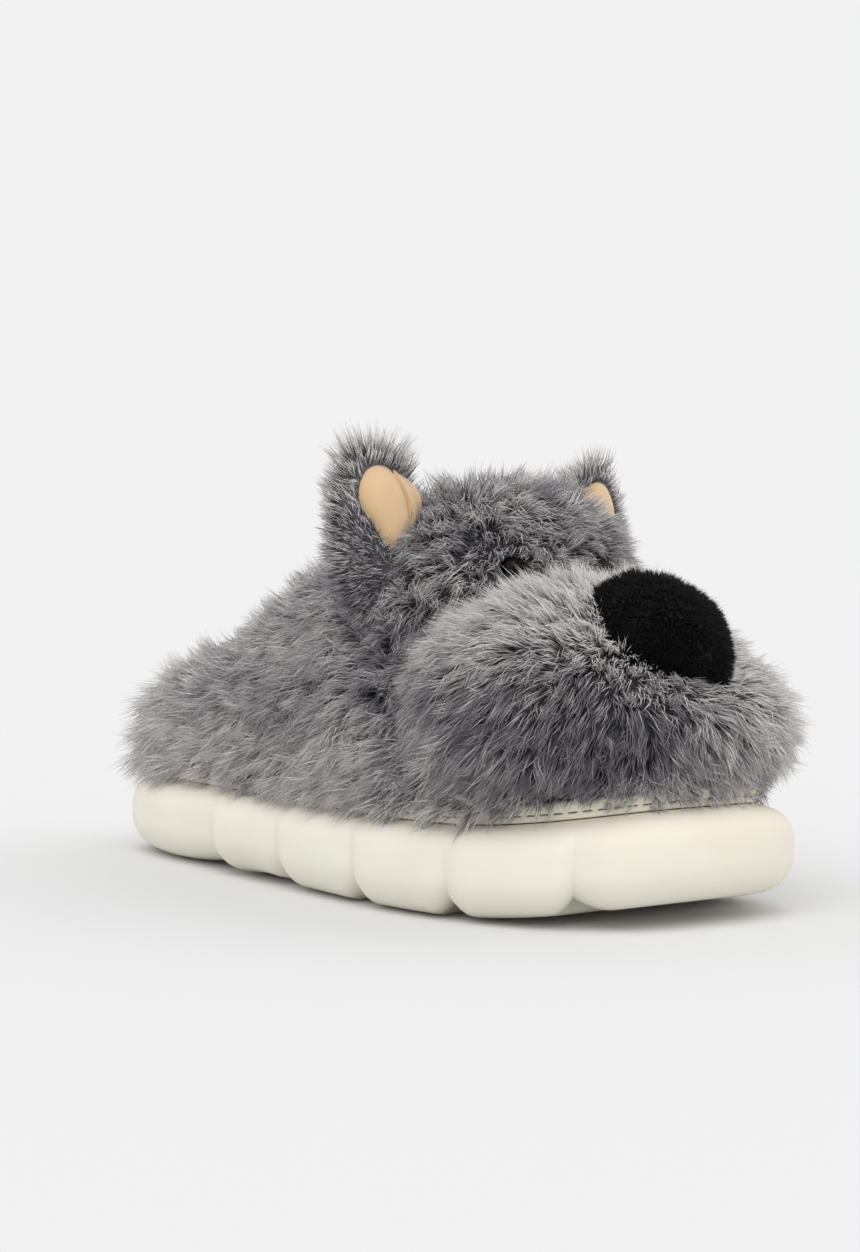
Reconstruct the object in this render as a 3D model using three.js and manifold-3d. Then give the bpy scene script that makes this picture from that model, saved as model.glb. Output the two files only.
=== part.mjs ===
// A right-foot plush slipper with a soft animal head, built on its last.
// Millimetres, +Z up, toe towards -Y, the outer (lateral) side towards -X.
import * as THREE from "three";
import { mergeVertices } from "three/addons/utils/BufferGeometryUtils.js";
import Module from "manifold-3d";

const wasm = await Module();
wasm.setup();

// Last: the space inside, for a foot of about 240
const lastLength = 248;
const ballWidth = 90.5;
const instepHeight = 69;
const widestHeight = 16;
const endBluntness = 3.4;
const heelSteepness = 6;
const roofSquareness = 3.2;
const baseSquareness = 6;

// Upper: lining, padding and fur backing, with the pile fused on as locks
const upperWall = 5;
const collarLength = 132;
const collarInset = 15.25;
const heelCover = 5;
const clearance = 0.3;

// Sole: one moulded block with a rounded, pinched side and a sunk foot bed
const soleThickness = 27;
const soleMargin = 17;
const bottomEdge = 13;
const topEdge = 9;
const ledgeWidth = 3.8;
const footbedDepth = 5;
const toeSpring = 6.5;
const springStart = 0.76;
const archHeight = 1.6;
const archMiddle = 0.41;
const archSpan = 0.09;
const pinchDepth = 3;
const pinchRise = 4.5;
const pinchFade = 0.85;
const channelDepth = 3;
const pinchReach = 0.62;
const endSteps = 9;
const lobeSteps = 5;

// Rand and insole
const randInset = 9.5;
const randThickness = 2.5;
const randHeight = 5.2;
const randRound = 1;
const insoleThickness = 5.7;
const insolePlay = 0.4;

// Muzzle: a stuffed bulge over the toe, wider than the ball and nearly as high as the instep
const muzzleLength = 91;
const toeOverhang = 8;
const muzzleBulge = 9.75;
const crownDrop = 3;
const muzzleBelly = 30;
const muzzleFootRise = 4;
const muzzleSquareness = 2.6;
const pileBehindToe = 48;

// Forehead: a stuffed dome between the ears, sunk over the instep
const foreheadWidth = 82;
const foreheadDepth = 60;
const foreheadHeight = 39;
const foreheadSink = 13;
const foreheadForward = 1;
const foreheadSquareness = 2.4;

// Ears, set against the forehead's sides
const earWidth = 26;
const earThickness = 15;
const earLength = 54;
const earGap = 3;
const earSetback = 5;
const earRise = 25;
const earTurn = 0.36;
const earSplay = 0.13;
const liningWidth = 19;
const liningLength = 31;
const liningThickness = 5;
const liningRise = 7;
const liningSunk = 1;
const liningTaper = 0.44;

// Nose and eyes
const noseWidth = 51;
const noseLength = 41;
const noseThickness = 24;
const noseSetback = 17;
const noseDrop = 12.5;
const noseSlope = 0.76;
const noseTaper = 0.28;
const noseFullness = 0.8;
const eyeDiameter = 9;
const eyeSpread = 16.5;
const eyeRise = 16;
const eyeSunk = 1.5;

// Pile: locks of fur, whose lengths differ and which lean the way the pile lies
const pileLength = 14;
const tuftLength = 9;
const earPile = 5.5;
const rootShare = 0.35;
const shortestShare = 0.8;
const longestShare = 1.2;
const lean = 0.45;
const quarterFlow = { aside: 0.2, back: 0.6, down: 0.7, downBelow: 1.8 };
const muzzleFlow = { back: 0.5, down: 0.7 };
const foreheadFlow = { forward: 0.5, up: 0.2 };

// Nets of the closed forms: corners round each ring, and rings from end to end
const nets = {
  last: { rounds: 20, stations: 20 },
  upper: { rounds: 30, stations: 24 },
  muzzle: { rounds: 24, stations: 14 },
  forehead: { rounds: 20, stations: 10 },
  ear: { rounds: 14, stations: 8 },
  lining: { rounds: 12, stations: 7 },
  nose: { rounds: 18, stations: 9 },
  eye: { rounds: 10, stations: 7 },
};
const collarSegments = 18;

const materials = {
  greyFur: new THREE.MeshStandardMaterial({ color: 0x8d8c92, roughness: 0.95, metalness: 0 }),
  darkFur: new THREE.MeshStandardMaterial({ color: 0x77777e, roughness: 0.95, metalness: 0 }),
  blackPlush: new THREE.MeshStandardMaterial({ color: 0x101012, roughness: 0.95, metalness: 0 }),
  peachVelour: new THREE.MeshStandardMaterial({ color: 0xe3bf93, roughness: 0.9, metalness: 0 }),
  creamFoam: new THREE.MeshStandardMaterial({ color: 0xe3e1d3, roughness: 0.6, metalness: 0 }),
  creamRand: new THREE.MeshStandardMaterial({ color: 0xdedbcb, roughness: 0.65, metalness: 0 }),
  footbed: new THREE.MeshStandardMaterial({ color: 0x9b9a9e, roughness: 0.95, metalness: 0 }),
  blackBead: new THREE.MeshStandardMaterial({ color: 0x0c0c0e, roughness: 0.2, metalness: 0 }),
};

// Sections of the last from heel (0) to toe (1): half widths as shares of the ball width, and
// the roof above the insole as a share of the instep height
const lastRows = [
  { along: 0.0, lateral: 0.313, medial: 0.313, roof: 0.3 },
  { along: 0.07, lateral: 0.32, medial: 0.32, roof: 0.43 },
  { along: 0.16, lateral: 0.328, medial: 0.327, roof: 0.57 },
  { along: 0.27, lateral: 0.347, medial: 0.333, roof: 0.72 },
  { along: 0.37, lateral: 0.373, medial: 0.348, roof: 0.88 },
  { along: 0.46, lateral: 0.405, medial: 0.37, roof: 0.99 },
  { along: 0.56, lateral: 0.445, medial: 0.41, roof: 1.0 },
  { along: 0.68, lateral: 0.486, medial: 0.455, roof: 0.84 },
  { along: 0.8, lateral: 0.492, medial: 0.474, roof: 0.6 },
  { along: 0.9, lateral: 0.474, medial: 0.467, roof: 0.4 },
  { along: 1.0, lateral: 0.437, medial: 0.449, roof: 0.25 },
];

// Stations of the muzzle from its rear (0) to its front (1), as shares of its width and height
const muzzleRows = [
  { along: 0.0, half: 0.37, crown: 0.83 },
  { along: 0.16, half: 0.45, crown: 0.9 },
  { along: 0.36, half: 0.49, crown: 0.96 },
  { along: 0.56, half: 0.5, crown: 1.0 },
  { along: 0.72, half: 0.49, crown: 0.97 },
  { along: 0.86, half: 0.47, crown: 0.87 },
  { along: 1.0, half: 0.44, crown: 0.74 },
];

// Pinches in the sole's side, from heel (0) to toe (1), alike on both sides
const pinchPlaces = [0.31, 0.473, 0.646, 0.802, 0.943];

// Levels above the floor
const footbedLevel = soleThickness - footbedDepth;
const insoleTop = footbedLevel + clearance + insoleThickness;
const lastWidest = insoleTop + widestHeight;
const randTop = soleThickness + clearance + randHeight;
const muzzleFoot = soleThickness + muzzleFootRise;
const muzzleWidest = insoleTop + muzzleBelly;
const muzzleCrown = insoleTop + instepHeight - crownDrop;
const foreheadLevel = insoleTop + instepHeight - foreheadSink;
const earLevel = foreheadLevel + earRise;
const noseLevel = muzzleCrown - noseDrop;
const eyeLevel = foreheadLevel + eyeRise;

// Places along and across the slipper
const muzzleWidth = ballWidth + 2 * muzzleBulge;
const muzzleFront = lastLength / 2 + toeOverhang;
const foreheadPlace = muzzleFront - muzzleLength - foreheadForward;
const earPlace = foreheadPlace - earSetback;
const earSpread = foreheadWidth / 2 + earGap;
const nosePlace = muzzleFront - noseSetback;
const collarWidth = ballWidth - 2 * collarInset;
const collarMiddle = lastLength / 2 - heelCover - collarLength / 2;

// Reads a column of a table at a place between its rows, on a smooth curve through them
function readTable(rows, column, along) {
  let last = rows.findIndex((row) => row.along >= along);
  if (last === -1) last = rows.length - 1;
  const next = Math.max(last, 1);
  const [a, b] = [rows[next - 1], rows[next]];
  const before = rows[next - 2] ?? a;
  const after = rows[next + 1] ?? b;
  const span = b.along - a.along;
  const t = (along - a.along) / span;
  const slope = (from, to) => (to[column] - from[column]) / (to.along - from.along || 1);
  const leave = slope(before, b) * span;
  const arrive = slope(a, after) * span;
  const rise = b[column] - a[column];
  return a[column] + t * leave + t * t * (3 * rise - 2 * leave - arrive)
    + t * t * t * (leave + arrive - 2 * rise);
}

// How far a blunt curve has opened at a share of its half length
function bluntness(share, power) {
  return (1 - Math.min(1, Math.abs(share)) ** power) ** (1 / power);
}

// A point of the last's plan, moved outwards; turn 0 is the heel, half a turn is the toe
function planPoint(turn, outset) {
  const forward = Math.cos(turn);
  const along = (1 - forward) / 2;
  const lateral = Math.sin(turn) >= 0;
  const half = ballWidth * readTable(lastRows, lateral ? "lateral" : "medial", along) + outset;
  const x = (lateral ? -1 : 1) * half * bluntness(forward, endBluntness);
  return { x, y: forward * (lastLength / 2 + outset), along };
}

// A point of the last, grown by an offset; round 0 is the medial side and a quarter is the roof
function lastPoint(turn, round, offset) {
  const forward = Math.cos(turn);
  const along = (1 - forward) / 2;
  const aside = Math.cos(round);
  const up = Math.sin(round);
  const side = aside < 0 ? "lateral" : "medial";
  const half = ballWidth * readTable(lastRows, side, along) + offset;
  const roof = insoleTop + instepHeight * readTable(lastRows, "roof", along) + offset;
  const base = footbedLevel / 2 - offset;
  const power = up > 0 ? roofSquareness : baseSquareness;
  const reach = up > 0 ? roof - lastWidest : lastWidest - base;
  const stretch = bluntStretch(aside, up, power);
  return new THREE.Vector3(
    aside * stretch * half * bluntness(forward, endBluntness),
    forward * (lastLength / 2 + offset),
    lastWidest + up * stretch * reach * bluntness(forward, heelSteepness),
  );
}

// Takes a point of a circle out to the squarer curve of the given power
function bluntStretch(aside, up, power) {
  return (Math.abs(aside) ** power + Math.abs(up) ** power) ** (-1 / power);
}

// A point of the muzzle, grown by an offset
function muzzlePoint(turn, round, offset) {
  const forward = -Math.cos(turn);
  const along = (1 + forward) / 2;
  const aside = Math.cos(round);
  const up = Math.sin(round);
  const half = muzzleWidth * readTable(muzzleRows, "half", along) + offset;
  const crown = muzzleCrown * readTable(muzzleRows, "crown", along) + offset;
  const reach = up > 0 ? crown - muzzleWidest : muzzleWidest - muzzleFoot + offset;
  const stretch = bluntStretch(aside, up, muzzleSquareness);
  const close = bluntness(forward, muzzleSquareness);
  return new THREE.Vector3(
    aside * stretch * half * close,
    muzzleLength / 2 - muzzleFront - forward * (muzzleLength / 2 + offset),
    muzzleWidest + up * stretch * reach * close,
  );
}

function foreheadPoint(turn, round, offset) {
  const way = [Math.sin(turn) * Math.cos(round), Math.cos(turn), Math.sin(turn) * Math.sin(round)];
  const power = foreheadSquareness;
  const stretch = way.reduce((sum, part) => sum + Math.abs(part) ** power, 0) ** (-1 / power);
  return new THREE.Vector3(
    way[0] * stretch * (foreheadWidth / 2 + offset),
    way[1] * stretch * (foreheadDepth / 2 + offset) - foreheadPlace,
    way[2] * stretch * (foreheadHeight + offset) + foreheadLevel,
  );
}

// The ear's own axes: across it, out of its face, and up to its tip
function earAxes(sign) {
  const face = new THREE.Vector3(sign * Math.sin(earTurn), -Math.cos(earTurn), 0);
  const tip = new THREE.Vector3(sign * Math.sin(earSplay), 0, Math.cos(earSplay));
  const across = new THREE.Vector3().crossVectors(face, tip).normalize();
  return { face, across, tip: new THREE.Vector3().crossVectors(across, face) };
}

function earMiddle(sign) {
  return new THREE.Vector3(sign * earSpread, -earPlace, earLevel);
}

function earPoint(turn, round, offset, sign) {
  const { face, across, tip } = earAxes(sign);
  return earMiddle(sign)
    .addScaledVector(across, Math.sin(turn) * Math.cos(round) * (earWidth / 2 + offset))
    .addScaledVector(face, Math.sin(turn) * Math.sin(round) * (earThickness / 2 + offset))
    .addScaledVector(tip, Math.cos(turn) * (earLength / 2 + offset));
}

// The ear's lining: a teardrop pad, narrow at its lower end, set into the ear's face
function liningPoint(turn, round, offset, sign) {
  const { face, across, tip } = earAxes(sign);
  const half = (liningWidth / 2 + offset) * tapered(liningTaper, Math.cos(turn));
  return earMiddle(sign)
    .addScaledVector(tip, liningRise + Math.cos(turn) * (liningLength / 2 + offset))
    .addScaledVector(across, Math.sin(turn) * Math.cos(round) * half)
    .addScaledVector(face, earThickness / 2 - liningSunk)
    .addScaledVector(face, Math.sin(turn) * Math.sin(round) * (liningThickness / 2 + offset));
}

// The share of a form's width at a level from -1 (its foot) to 1, where it is full
function tapered(taper, level) {
  return 1 - (taper * (1 - level)) / 2;
}

// The nose: a rounded triangle with its tip down, lying on the muzzle's slope
function nosePoint(turn, round, offset) {
  const outOf = new THREE.Vector3(0, -Math.cos(noseSlope), Math.sin(noseSlope));
  const upSlope = new THREE.Vector3(0, Math.sin(noseSlope), Math.cos(noseSlope));
  const aside = Math.cos(round);
  const up = Math.sin(round);
  const rim = Math.sin(turn) ** noseFullness;
  const half = (noseWidth / 2 + offset) * tapered(noseTaper, up);
  return new THREE.Vector3(aside * rim * half, -nosePlace, noseLevel)
    .addScaledVector(upSlope, up * rim * (noseLength / 2 + offset))
    .addScaledVector(outOf, Math.cos(turn) * (noseThickness / 2 + offset));
}

// Turns a geometry into a solid for joins and cuts
function toSolid(geometry) {
  const bare = new THREE.BufferGeometry();
  bare.setAttribute("position", geometry.getAttribute("position"));
  bare.setIndex(geometry.getIndex());
  const merged = mergeVertices(bare);
  const corners = merged.getIndex().array;
  const kept = [];
  for (let i = 0; i < corners.length; i += 3) {
    const [a, b, c] = [corners[i], corners[i + 1], corners[i + 2]];
    if (a !== b && b !== c && c !== a) kept.push(a, b, c);
  }
  return new wasm.Manifold(new wasm.Mesh({
    numProp: 3,
    vertProperties: new Float32Array(merged.getAttribute("position").array),
    triVerts: new Uint32Array(kept),
  }));
}

function toGeometry(solid) {
  const { vertProperties, triVerts } = solid.getMesh();
  const geometry = new THREE.BufferGeometry();
  geometry.setAttribute("position", new THREE.Float32BufferAttribute(vertProperties, 3));
  geometry.setIndex(new THREE.BufferAttribute(new Uint32Array(triVerts), 1));
  geometry.computeVertexNormals();
  return geometry;
}

// The largest body of a solid, without the crumbs that a cut leaves
function mainBody(solid) {
  const bodies = solid.decompose();
  return bodies.reduce((best, body) => (body.volume() > best.volume() ? body : best));
}

// A closed form from a sphere whose poles are the form's two ends
function closedForm(place, { rounds, stations }) {
  const geometry = new THREE.SphereGeometry(1, rounds, stations);
  const position = geometry.getAttribute("position");
  for (let i = 0; i < position.count; i += 1) {
    const station = Math.floor(i / (rounds + 1));
    const atPole = station === 0 || station === stations;
    const column = atPole ? 0 : (i % (rounds + 1)) % rounds;
    const turn = (Math.PI * station) / stations;
    const round = (2 * Math.PI * column) / rounds;
    const point = place(turn, round, station, column);
    position.setXYZ(i, point.x, point.y, point.z);
  }
  return outwards(toSolid(geometry));
}

// A form with its pile fused on: every second corner of its net is the tip of a lock, which
// leans with the pile, and the corners between are the roots
function furredForm(place, net, coat, grow) {
  return closedForm((turn, round, station, column) => {
    const root = place(turn, round, grow);
    const cover = coat.coverAt(root);
    const atEnd = station === 0 || station === net.stations;
    const isTip = (station + column) % 2 === 0 && !atEnd;
    if (!isTip) return place(turn, round, grow + coat.length * rootShare * cover);
    const share = THREE.MathUtils.lerp(shortestShare, longestShare, scatter(station, column));
    const length = coat.length * cover * share;
    const out = outOfForm(place, turn, round);
    return root.addScaledVector(out, length).addScaledVector(coat.flowAt(root), length * lean);
  }, net);
}

// The direction straight out of a form
function outOfForm(place, turn, round) {
  const step = 0.01;
  const alongTurn = place(turn + step, round, 0).sub(place(turn - step, round, 0));
  const alongRound = place(turn, round + step, 0).sub(place(turn, round - step, 0));
  const out = alongTurn.cross(alongRound).normalize();
  const outside = place(turn, round, clearance).sub(place(turn, round, 0));
  return out.dot(outside) < 0 ? out.negate() : out;
}

// A fixed share between 0 and 1 for each corner of a net, so that no two locks are alike
function scatter(station, column) {
  const goldenShare = (Math.sqrt(5) - 1) / 2;
  return ((station ** 2 + column ** 3) * goldenShare) % 1;
}

// Turns a solid's faces outwards where its ends were named the other way round
function outwards(solid) {
  if (solid.volume() > 0) return solid;
  const { vertProperties, triVerts } = solid.getMesh();
  const flipped = new Uint32Array(triVerts);
  for (let i = 0; i < flipped.length; i += 3) {
    flipped[i] = triVerts[i + 1];
    flipped[i + 1] = triVerts[i];
  }
  return new wasm.Manifold(new wasm.Mesh({ numProp: 3, vertProperties, triVerts: flipped }));
}

function slab(low, high) {
  const box = new THREE.BoxGeometry(2 * lastLength, 2 * lastLength, high - low);
  box.translate(0, 0, (low + high) / 2);
  return toSolid(box);
}

// The stations of the sole's rim from heel to toe: where each lies and how far it is pinched;
// they crowd towards the pinches and the two ends
function rimStations() {
  const turns = pinchPlaces.map((place) => Math.acos(1 - 2 * place));
  const pinchAt = (share) => Math.max(0, (Math.abs(share) - pinchReach) / (1 - pinchReach)) ** 2;
  const crowded = (i, steps) => (1 - Math.cos((Math.PI * i) / steps)) / 2;
  const stations = [];
  for (let i = 0; i < endSteps; i += 1) {
    const share = crowded(i, endSteps);
    stations.push({ turn: turns[0] * share, pinch: pinchAt(share) });
  }
  for (let lobe = 0; lobe < turns.length - 1; lobe += 1) {
    for (let i = 0; i < lobeSteps; i += 1) {
      const share = crowded(i, lobeSteps);
      const turn = turns[lobe] + (turns[lobe + 1] - turns[lobe]) * share;
      stations.push({ turn, pinch: pinchAt(2 * share - 1) });
    }
  }
  for (let i = endSteps; i >= 0; i -= 1) {
    const share = crowded(i, endSteps);
    stations.push({ turn: Math.PI - (Math.PI - turns.at(-1)) * share, pinch: pinchAt(share) });
  }
  return stations;
}

const rim = rimStations();

// How high the toe lifts off the floor, and the arch under the waist
function springLift(along) {
  return Math.max(0, (along - springStart) / (1 - springStart)) ** 2 * toeSpring;
}

function archLift(along) {
  return Math.max(0, 1 - ((along - archMiddle) / archSpan) ** 2) * archHeight;
}

// A ring of points round the rim; level gives each point's outset and height
function rimRing(level) {
  const around = [...rim, ...rim.slice(1, -1).reverse()];
  return around.map((station, i) => {
    const turn = i < rim.length ? station.turn : 2 * Math.PI - station.turn;
    const along = (1 - Math.cos(turn)) / 2;
    const { outset, z } = level(along, station.pinch);
    const { x, y } = planPoint(turn, outset);
    return new THREE.Vector3(x, y, z);
  });
}

// Skins rings into a solid; the last ring joins the first unless caps close the two ends
function skinRings(rings, caps = []) {
  const count = rings[0].length;
  const points = rings.flat();
  const faces = [];
  const bands = caps.length > 0 ? rings.length - 1 : rings.length;
  for (let j = 0; j < bands; j += 1) {
    const low = j * count;
    const high = ((j + 1) % rings.length) * count;
    for (let i = 0; i < count; i += 1) {
      const next = (i + 1) % count;
      faces.push(low + i, low + next, high + next, low + i, high + next, high + i);
    }
  }
  caps.forEach((cap) => addCap(points, faces, cap));
  const geometry = new THREE.BufferGeometry();
  const numbers = points.flatMap((point) => point.toArray());
  geometry.setAttribute("position", new THREE.Float32BufferAttribute(numbers, 3));
  geometry.setIndex(faces);
  return outwards(toSolid(geometry));
}

// Closes a ring by strips across, from each station of the rim to the one opposite; first is
// the ring's first point, and height gives the strips' inner points their level
function addCap(points, faces, { first, steps, height, facesUp }) {
  const count = 2 * (rim.length - 1);
  const rows = rim.map((station, i) => {
    const from = first + i;
    const to = first + ((count - i) % count);
    const row = [from];
    for (let k = 1; k < steps; k += 1) {
      const point = points[from].clone().lerp(points[to], k / steps);
      point.z = height(station);
      row.push(from === to ? from : points.push(point) - 1);
    }
    return [...row, to];
  });
  for (let i = 0; i + 1 < rows.length; i += 1) {
    for (let k = 0; k < steps; k += 1) {
      const [a, b] = [rows[i][k], rows[i][k + 1]];
      const [c, d] = [rows[i + 1][k + 1], rows[i + 1][k]];
      if (facesUp) faces.push(a, c, b, a, d, c);
      else faces.push(a, b, c, a, c, d);
    }
  }
}

// The sole's side from the underside up: height and inset as shares of the thickness and edge
const soleSide = [
  { up: 0, edge: bottomEdge, share: 1 },
  { up: 0.05, edge: bottomEdge, share: 0.58 },
  { up: 0.16, edge: bottomEdge, share: 0.25 },
  { up: 0.34, edge: bottomEdge, share: 0.04 },
  { up: 0.56, edge: bottomEdge, share: 0 },
  { up: 0.8, edge: topEdge, share: 0.12 },
  { up: 0.94, edge: topEdge, share: 0.5 },
  { up: 1, edge: topEdge, share: 1 },
];

function soleSolid(grow) {
  const rings = soleSide.map(({ up, edge, share }) => rimRing((along, pinch) => {
    const pinched = pinchDepth * pinch * (1 - pinchFade * up ** 2);
    const rise = pinchRise * pinch * (1 - up) ** 3;
    const bottom = springLift(along) + archLift(along) + rise - grow;
    const top = soleThickness + springLift(along) + grow;
    return { outset: soleMargin - edge * share - pinched + grow, z: bottom + (top - bottom) * up };
  }));
  const ledge = soleMargin - topEdge - ledgeWidth - grow;
  const rimTop = (along) => soleThickness + springLift(along) + grow;
  rings.push(rimRing((along) => ({ outset: ledge, z: rimTop(along) })));
  rings.push(rimRing(() => ({ outset: ledge, z: footbedLevel + grow })));
  const underside = ({ turn, pinch }) => {
    const along = (1 - Math.cos(turn)) / 2;
    return springLift(along) + archLift(along) + channelDepth * pinch - grow;
  };
  const footbed = () => footbedLevel + grow;
  const lastRing = (rings.length - 1) * rings[0].length;
  return skinRings(rings, [
    { first: 0, steps: 3, height: underside, facesUp: false },
    { first: lastRing, steps: 1, height: footbed, facesUp: true },
  ]);
}

function randSolid(grow) {
  const outer = soleMargin - randInset + grow;
  const inner = soleMargin - randInset - randThickness - grow;
  const foot = soleThickness + clearance - grow;
  const top = randTop + grow;
  const corners = [
    { outset: outer, z: foot },
    { outset: outer, z: top - randRound },
    { outset: outer - randRound, z: top },
    { outset: inner, z: top },
    { outset: inner, z: foot },
  ];
  const level = (corner) => (along) => ({ outset: corner.outset, z: corner.z + springLift(along) });
  return skinRings(corners.map((corner) => rimRing(level(corner))));
}

// The collar's opening, straight down through the roof
function collarSolid() {
  const outline = new THREE.Shape();
  outline.absellipse(0, collarMiddle, collarWidth / 2, collarLength / 2, 0, 2 * Math.PI, false, 0);
  const hole = new THREE.ExtrudeGeometry(outline, {
    depth: instepHeight,
    bevelEnabled: false,
    curveSegments: collarSegments,
  });
  hole.translate(0, 0, lastWidest + widestHeight);
  return toSolid(hole);
}

const group = new THREE.Group();
const sides = { right: -1, left: 1 };
const signs = Object.values(sides);

function addPiece(name, solid, material) {
  const mesh = new THREE.Mesh(toGeometry(mainBody(solid)), materials[material]);
  mesh.name = name;
  group.add(mesh);
}

// The smooth forms, each grown by an offset
function grownForm(place, net, offset, sign) {
  return closedForm((turn, round) => place(turn, round, offset, sign), net);
}

const lastForm = (offset) => grownForm(lastPoint, nets.last, offset);
const upperForm = (offset) => grownForm(lastPoint, nets.upper, offset);
const muzzleForm = (offset) => grownForm(muzzlePoint, nets.muzzle, offset);
const foreheadForm = (offset) => grownForm(foreheadPoint, nets.forehead, offset);
const noseForm = (offset) => grownForm(nosePoint, nets.nose, offset);
const liningForm = (offset, sign) => grownForm(liningPoint, nets.lining, offset, sign);

// An eye's middle, a little under the forehead's surface
function eyeMiddle(sign) {
  const power = foreheadSquareness;
  const aside = (2 * eyeSpread) / foreheadWidth;
  const up = eyeRise / foreheadHeight;
  const forward = (1 - aside ** power - up ** power) ** (1 / power) * (foreheadDepth / 2);
  return new THREE.Vector3(sign * eyeSpread, eyeSunk - foreheadPlace - forward, eyeLevel);
}

function eyeForm(offset, sign) {
  const { rounds, stations } = nets.eye;
  const bead = new THREE.SphereGeometry(eyeDiameter / 2 + offset, rounds, stations);
  bead.translate(...eyeMiddle(sign).toArray());
  return toSolid(bead);
}

// Whether a point lies inside the stuffed head, where the upper under it has no pile
function isInMuzzle(point) {
  const forward = (muzzleLength / 2 - muzzleFront - point.y) / (muzzleLength / 2);
  const along = THREE.MathUtils.clamp((1 + forward) / 2, 0, 1);
  const close = bluntness(forward, muzzleSquareness);
  const half = muzzleWidth * readTable(muzzleRows, "half", along) * close;
  const crown = muzzleCrown * readTable(muzzleRows, "crown", along);
  const reach = (point.z > muzzleWidest ? crown - muzzleWidest : muzzleWidest - muzzleFoot) * close;
  return Math.hypot(point.x / half, (point.z - muzzleWidest) / reach) < 1;
}

function isInForehead(point) {
  return Math.hypot(
    point.x / (foreheadWidth / 2),
    (point.y + foreheadPlace) / (foreheadDepth / 2),
    (point.z - foreheadLevel) / foreheadHeight,
  ) < 1;
}

// The upper with its pile: long on the quarters and the heel, none inside the rand
function furredUpper(grow) {
  const place = (turn, round, offset) => lastPoint(turn, round, upperWall + offset);
  const bareFrom = pileBehindToe - muzzleFront;
  return furredForm(place, nets.upper, {
    length: pileLength,
    flowAt: (root) => new THREE.Vector3(
      Math.sign(root.x) * quarterFlow.aside,
      quarterFlow.back,
      root.z < lastWidest ? -quarterFlow.downBelow : -quarterFlow.down,
    ),
    coverAt: (root) => {
      const bare = root.z < randTop || root.y < bareFrom || isInMuzzle(root) || isInForehead(root);
      return bare ? 0 : 1;
    },
  }, grow);
}

function furredMuzzle(grow) {
  const noseMiddle = new THREE.Vector3(0, -nosePlace, noseLevel);
  return furredForm(muzzlePoint, nets.muzzle, {
    length: tuftLength,
    flowAt: (root) => new THREE.Vector3(root.x / muzzleWidth, muzzleFlow.back, -muzzleFlow.down),
    coverAt: (root) => (root.distanceTo(noseMiddle) < noseWidth / 2 ? 0 : 1),
  }, grow);
}

function furredForehead(grow) {
  const seam = foreheadLevel - foreheadHeight / 4;
  return furredForm(foreheadPoint, nets.forehead, {
    length: tuftLength,
    flowAt: () => new THREE.Vector3(0, -foreheadFlow.forward, foreheadFlow.up),
    coverAt: (root) => {
      const nearEye = signs.some((sign) => root.distanceTo(eyeMiddle(sign)) < eyeDiameter);
      return nearEye || root.z < seam ? 0 : 1;
    },
  }, grow);
}

function furredEar(grow, sign) {
  const place = (turn, round, offset) => earPoint(turn, round, offset, sign);
  const { face, tip } = earAxes(sign);
  return furredForm(place, nets.ear, {
    length: earPile,
    flowAt: () => tip,
    coverAt: (root) => {
      const seen = root.clone().sub(earMiddle(sign));
      return seen.dot(face) < earThickness / 4 && seen.dot(tip) > -earLength / 3 ? 1 : 0;
    },
  }, grow);
}

// Sole, rand and insole
const floorBlock = soleSolid(clearance).add(randSolid(clearance));
addPiece("sole", soleSolid(0), "creamFoam");
addPiece("rand", randSolid(0), "creamRand");
const insoleSlab = slab(footbedLevel + clearance, insoleTop);
addPiece("insole", lastForm(-insolePlay).intersect(insoleSlab), "footbed");

// What the head pieces are sewn to, a clearance away, and what their pile is trimmed back to
const trimmed = clearance / 2;
const carrier = upperForm(upperWall + clearance);
const bothSides = (make) => signs.map(make).reduce((one, other) => one.add(other));

// Nose, eyes and ears
addPiece("nose", noseForm(0).subtract(muzzleForm(clearance)), "blackPlush");
Object.entries(sides).forEach(([side, sign]) => {
  addPiece(`eye_${side}`, eyeForm(0, sign), "blackBead");
  addPiece(`ear_lining_${side}`, liningForm(0, sign), "peachVelour");
  const ear = furredEar(0, sign).subtract(liningForm(clearance, sign));
  addPiece(`ear_${side}`, ear.subtract(carrier).subtract(foreheadForm(clearance)), "greyFur");
});
const noseSpace = noseForm(clearance);
const eyeSpace = bothSides((sign) => eyeForm(clearance, sign));
const earSpace = bothSides((sign) => furredEar(clearance, sign).add(liningForm(clearance, sign)));

// Muzzle and forehead, each cut to what it is sewn against
const muzzle = furredMuzzle(0).subtract(noseSpace.subtract(muzzleForm(trimmed)));
addPiece("muzzle", muzzle.subtract(carrier).subtract(floorBlock), "greyFur");
const muzzleSpace = furredMuzzle(clearance);
const forehead = furredForehead(0).subtract(eyeSpace).subtract(carrier).subtract(muzzleSpace);
addPiece("forehead", forehead.subtract(earSpace.subtract(foreheadForm(trimmed))), "darkFur");

// The hollow upper, open at the collar and underneath
const headSpace = muzzleSpace.add(furredForehead(clearance)).add(earSpace).add(noseSpace);
const pileTrim = headSpace.subtract(upperForm(upperWall + trimmed));
const upper = furredUpper(0).subtract(lastForm(0)).subtract(collarSolid());
addPiece("upper", upper.subtract(pileTrim).subtract(floorBlock), "greyFur");

// The whole slipper stands with the middle of its bounding box over the origin
const bounds = new THREE.Box3().setFromObject(group);
const middle = bounds.getCenter(new THREE.Vector3());
group.position.set(-middle.x, -middle.y, 0);

export default group;
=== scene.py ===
import bmesh
import bpy
import math
import numpy as np
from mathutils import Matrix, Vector
from mathutils.kdtree import KDTree


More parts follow.
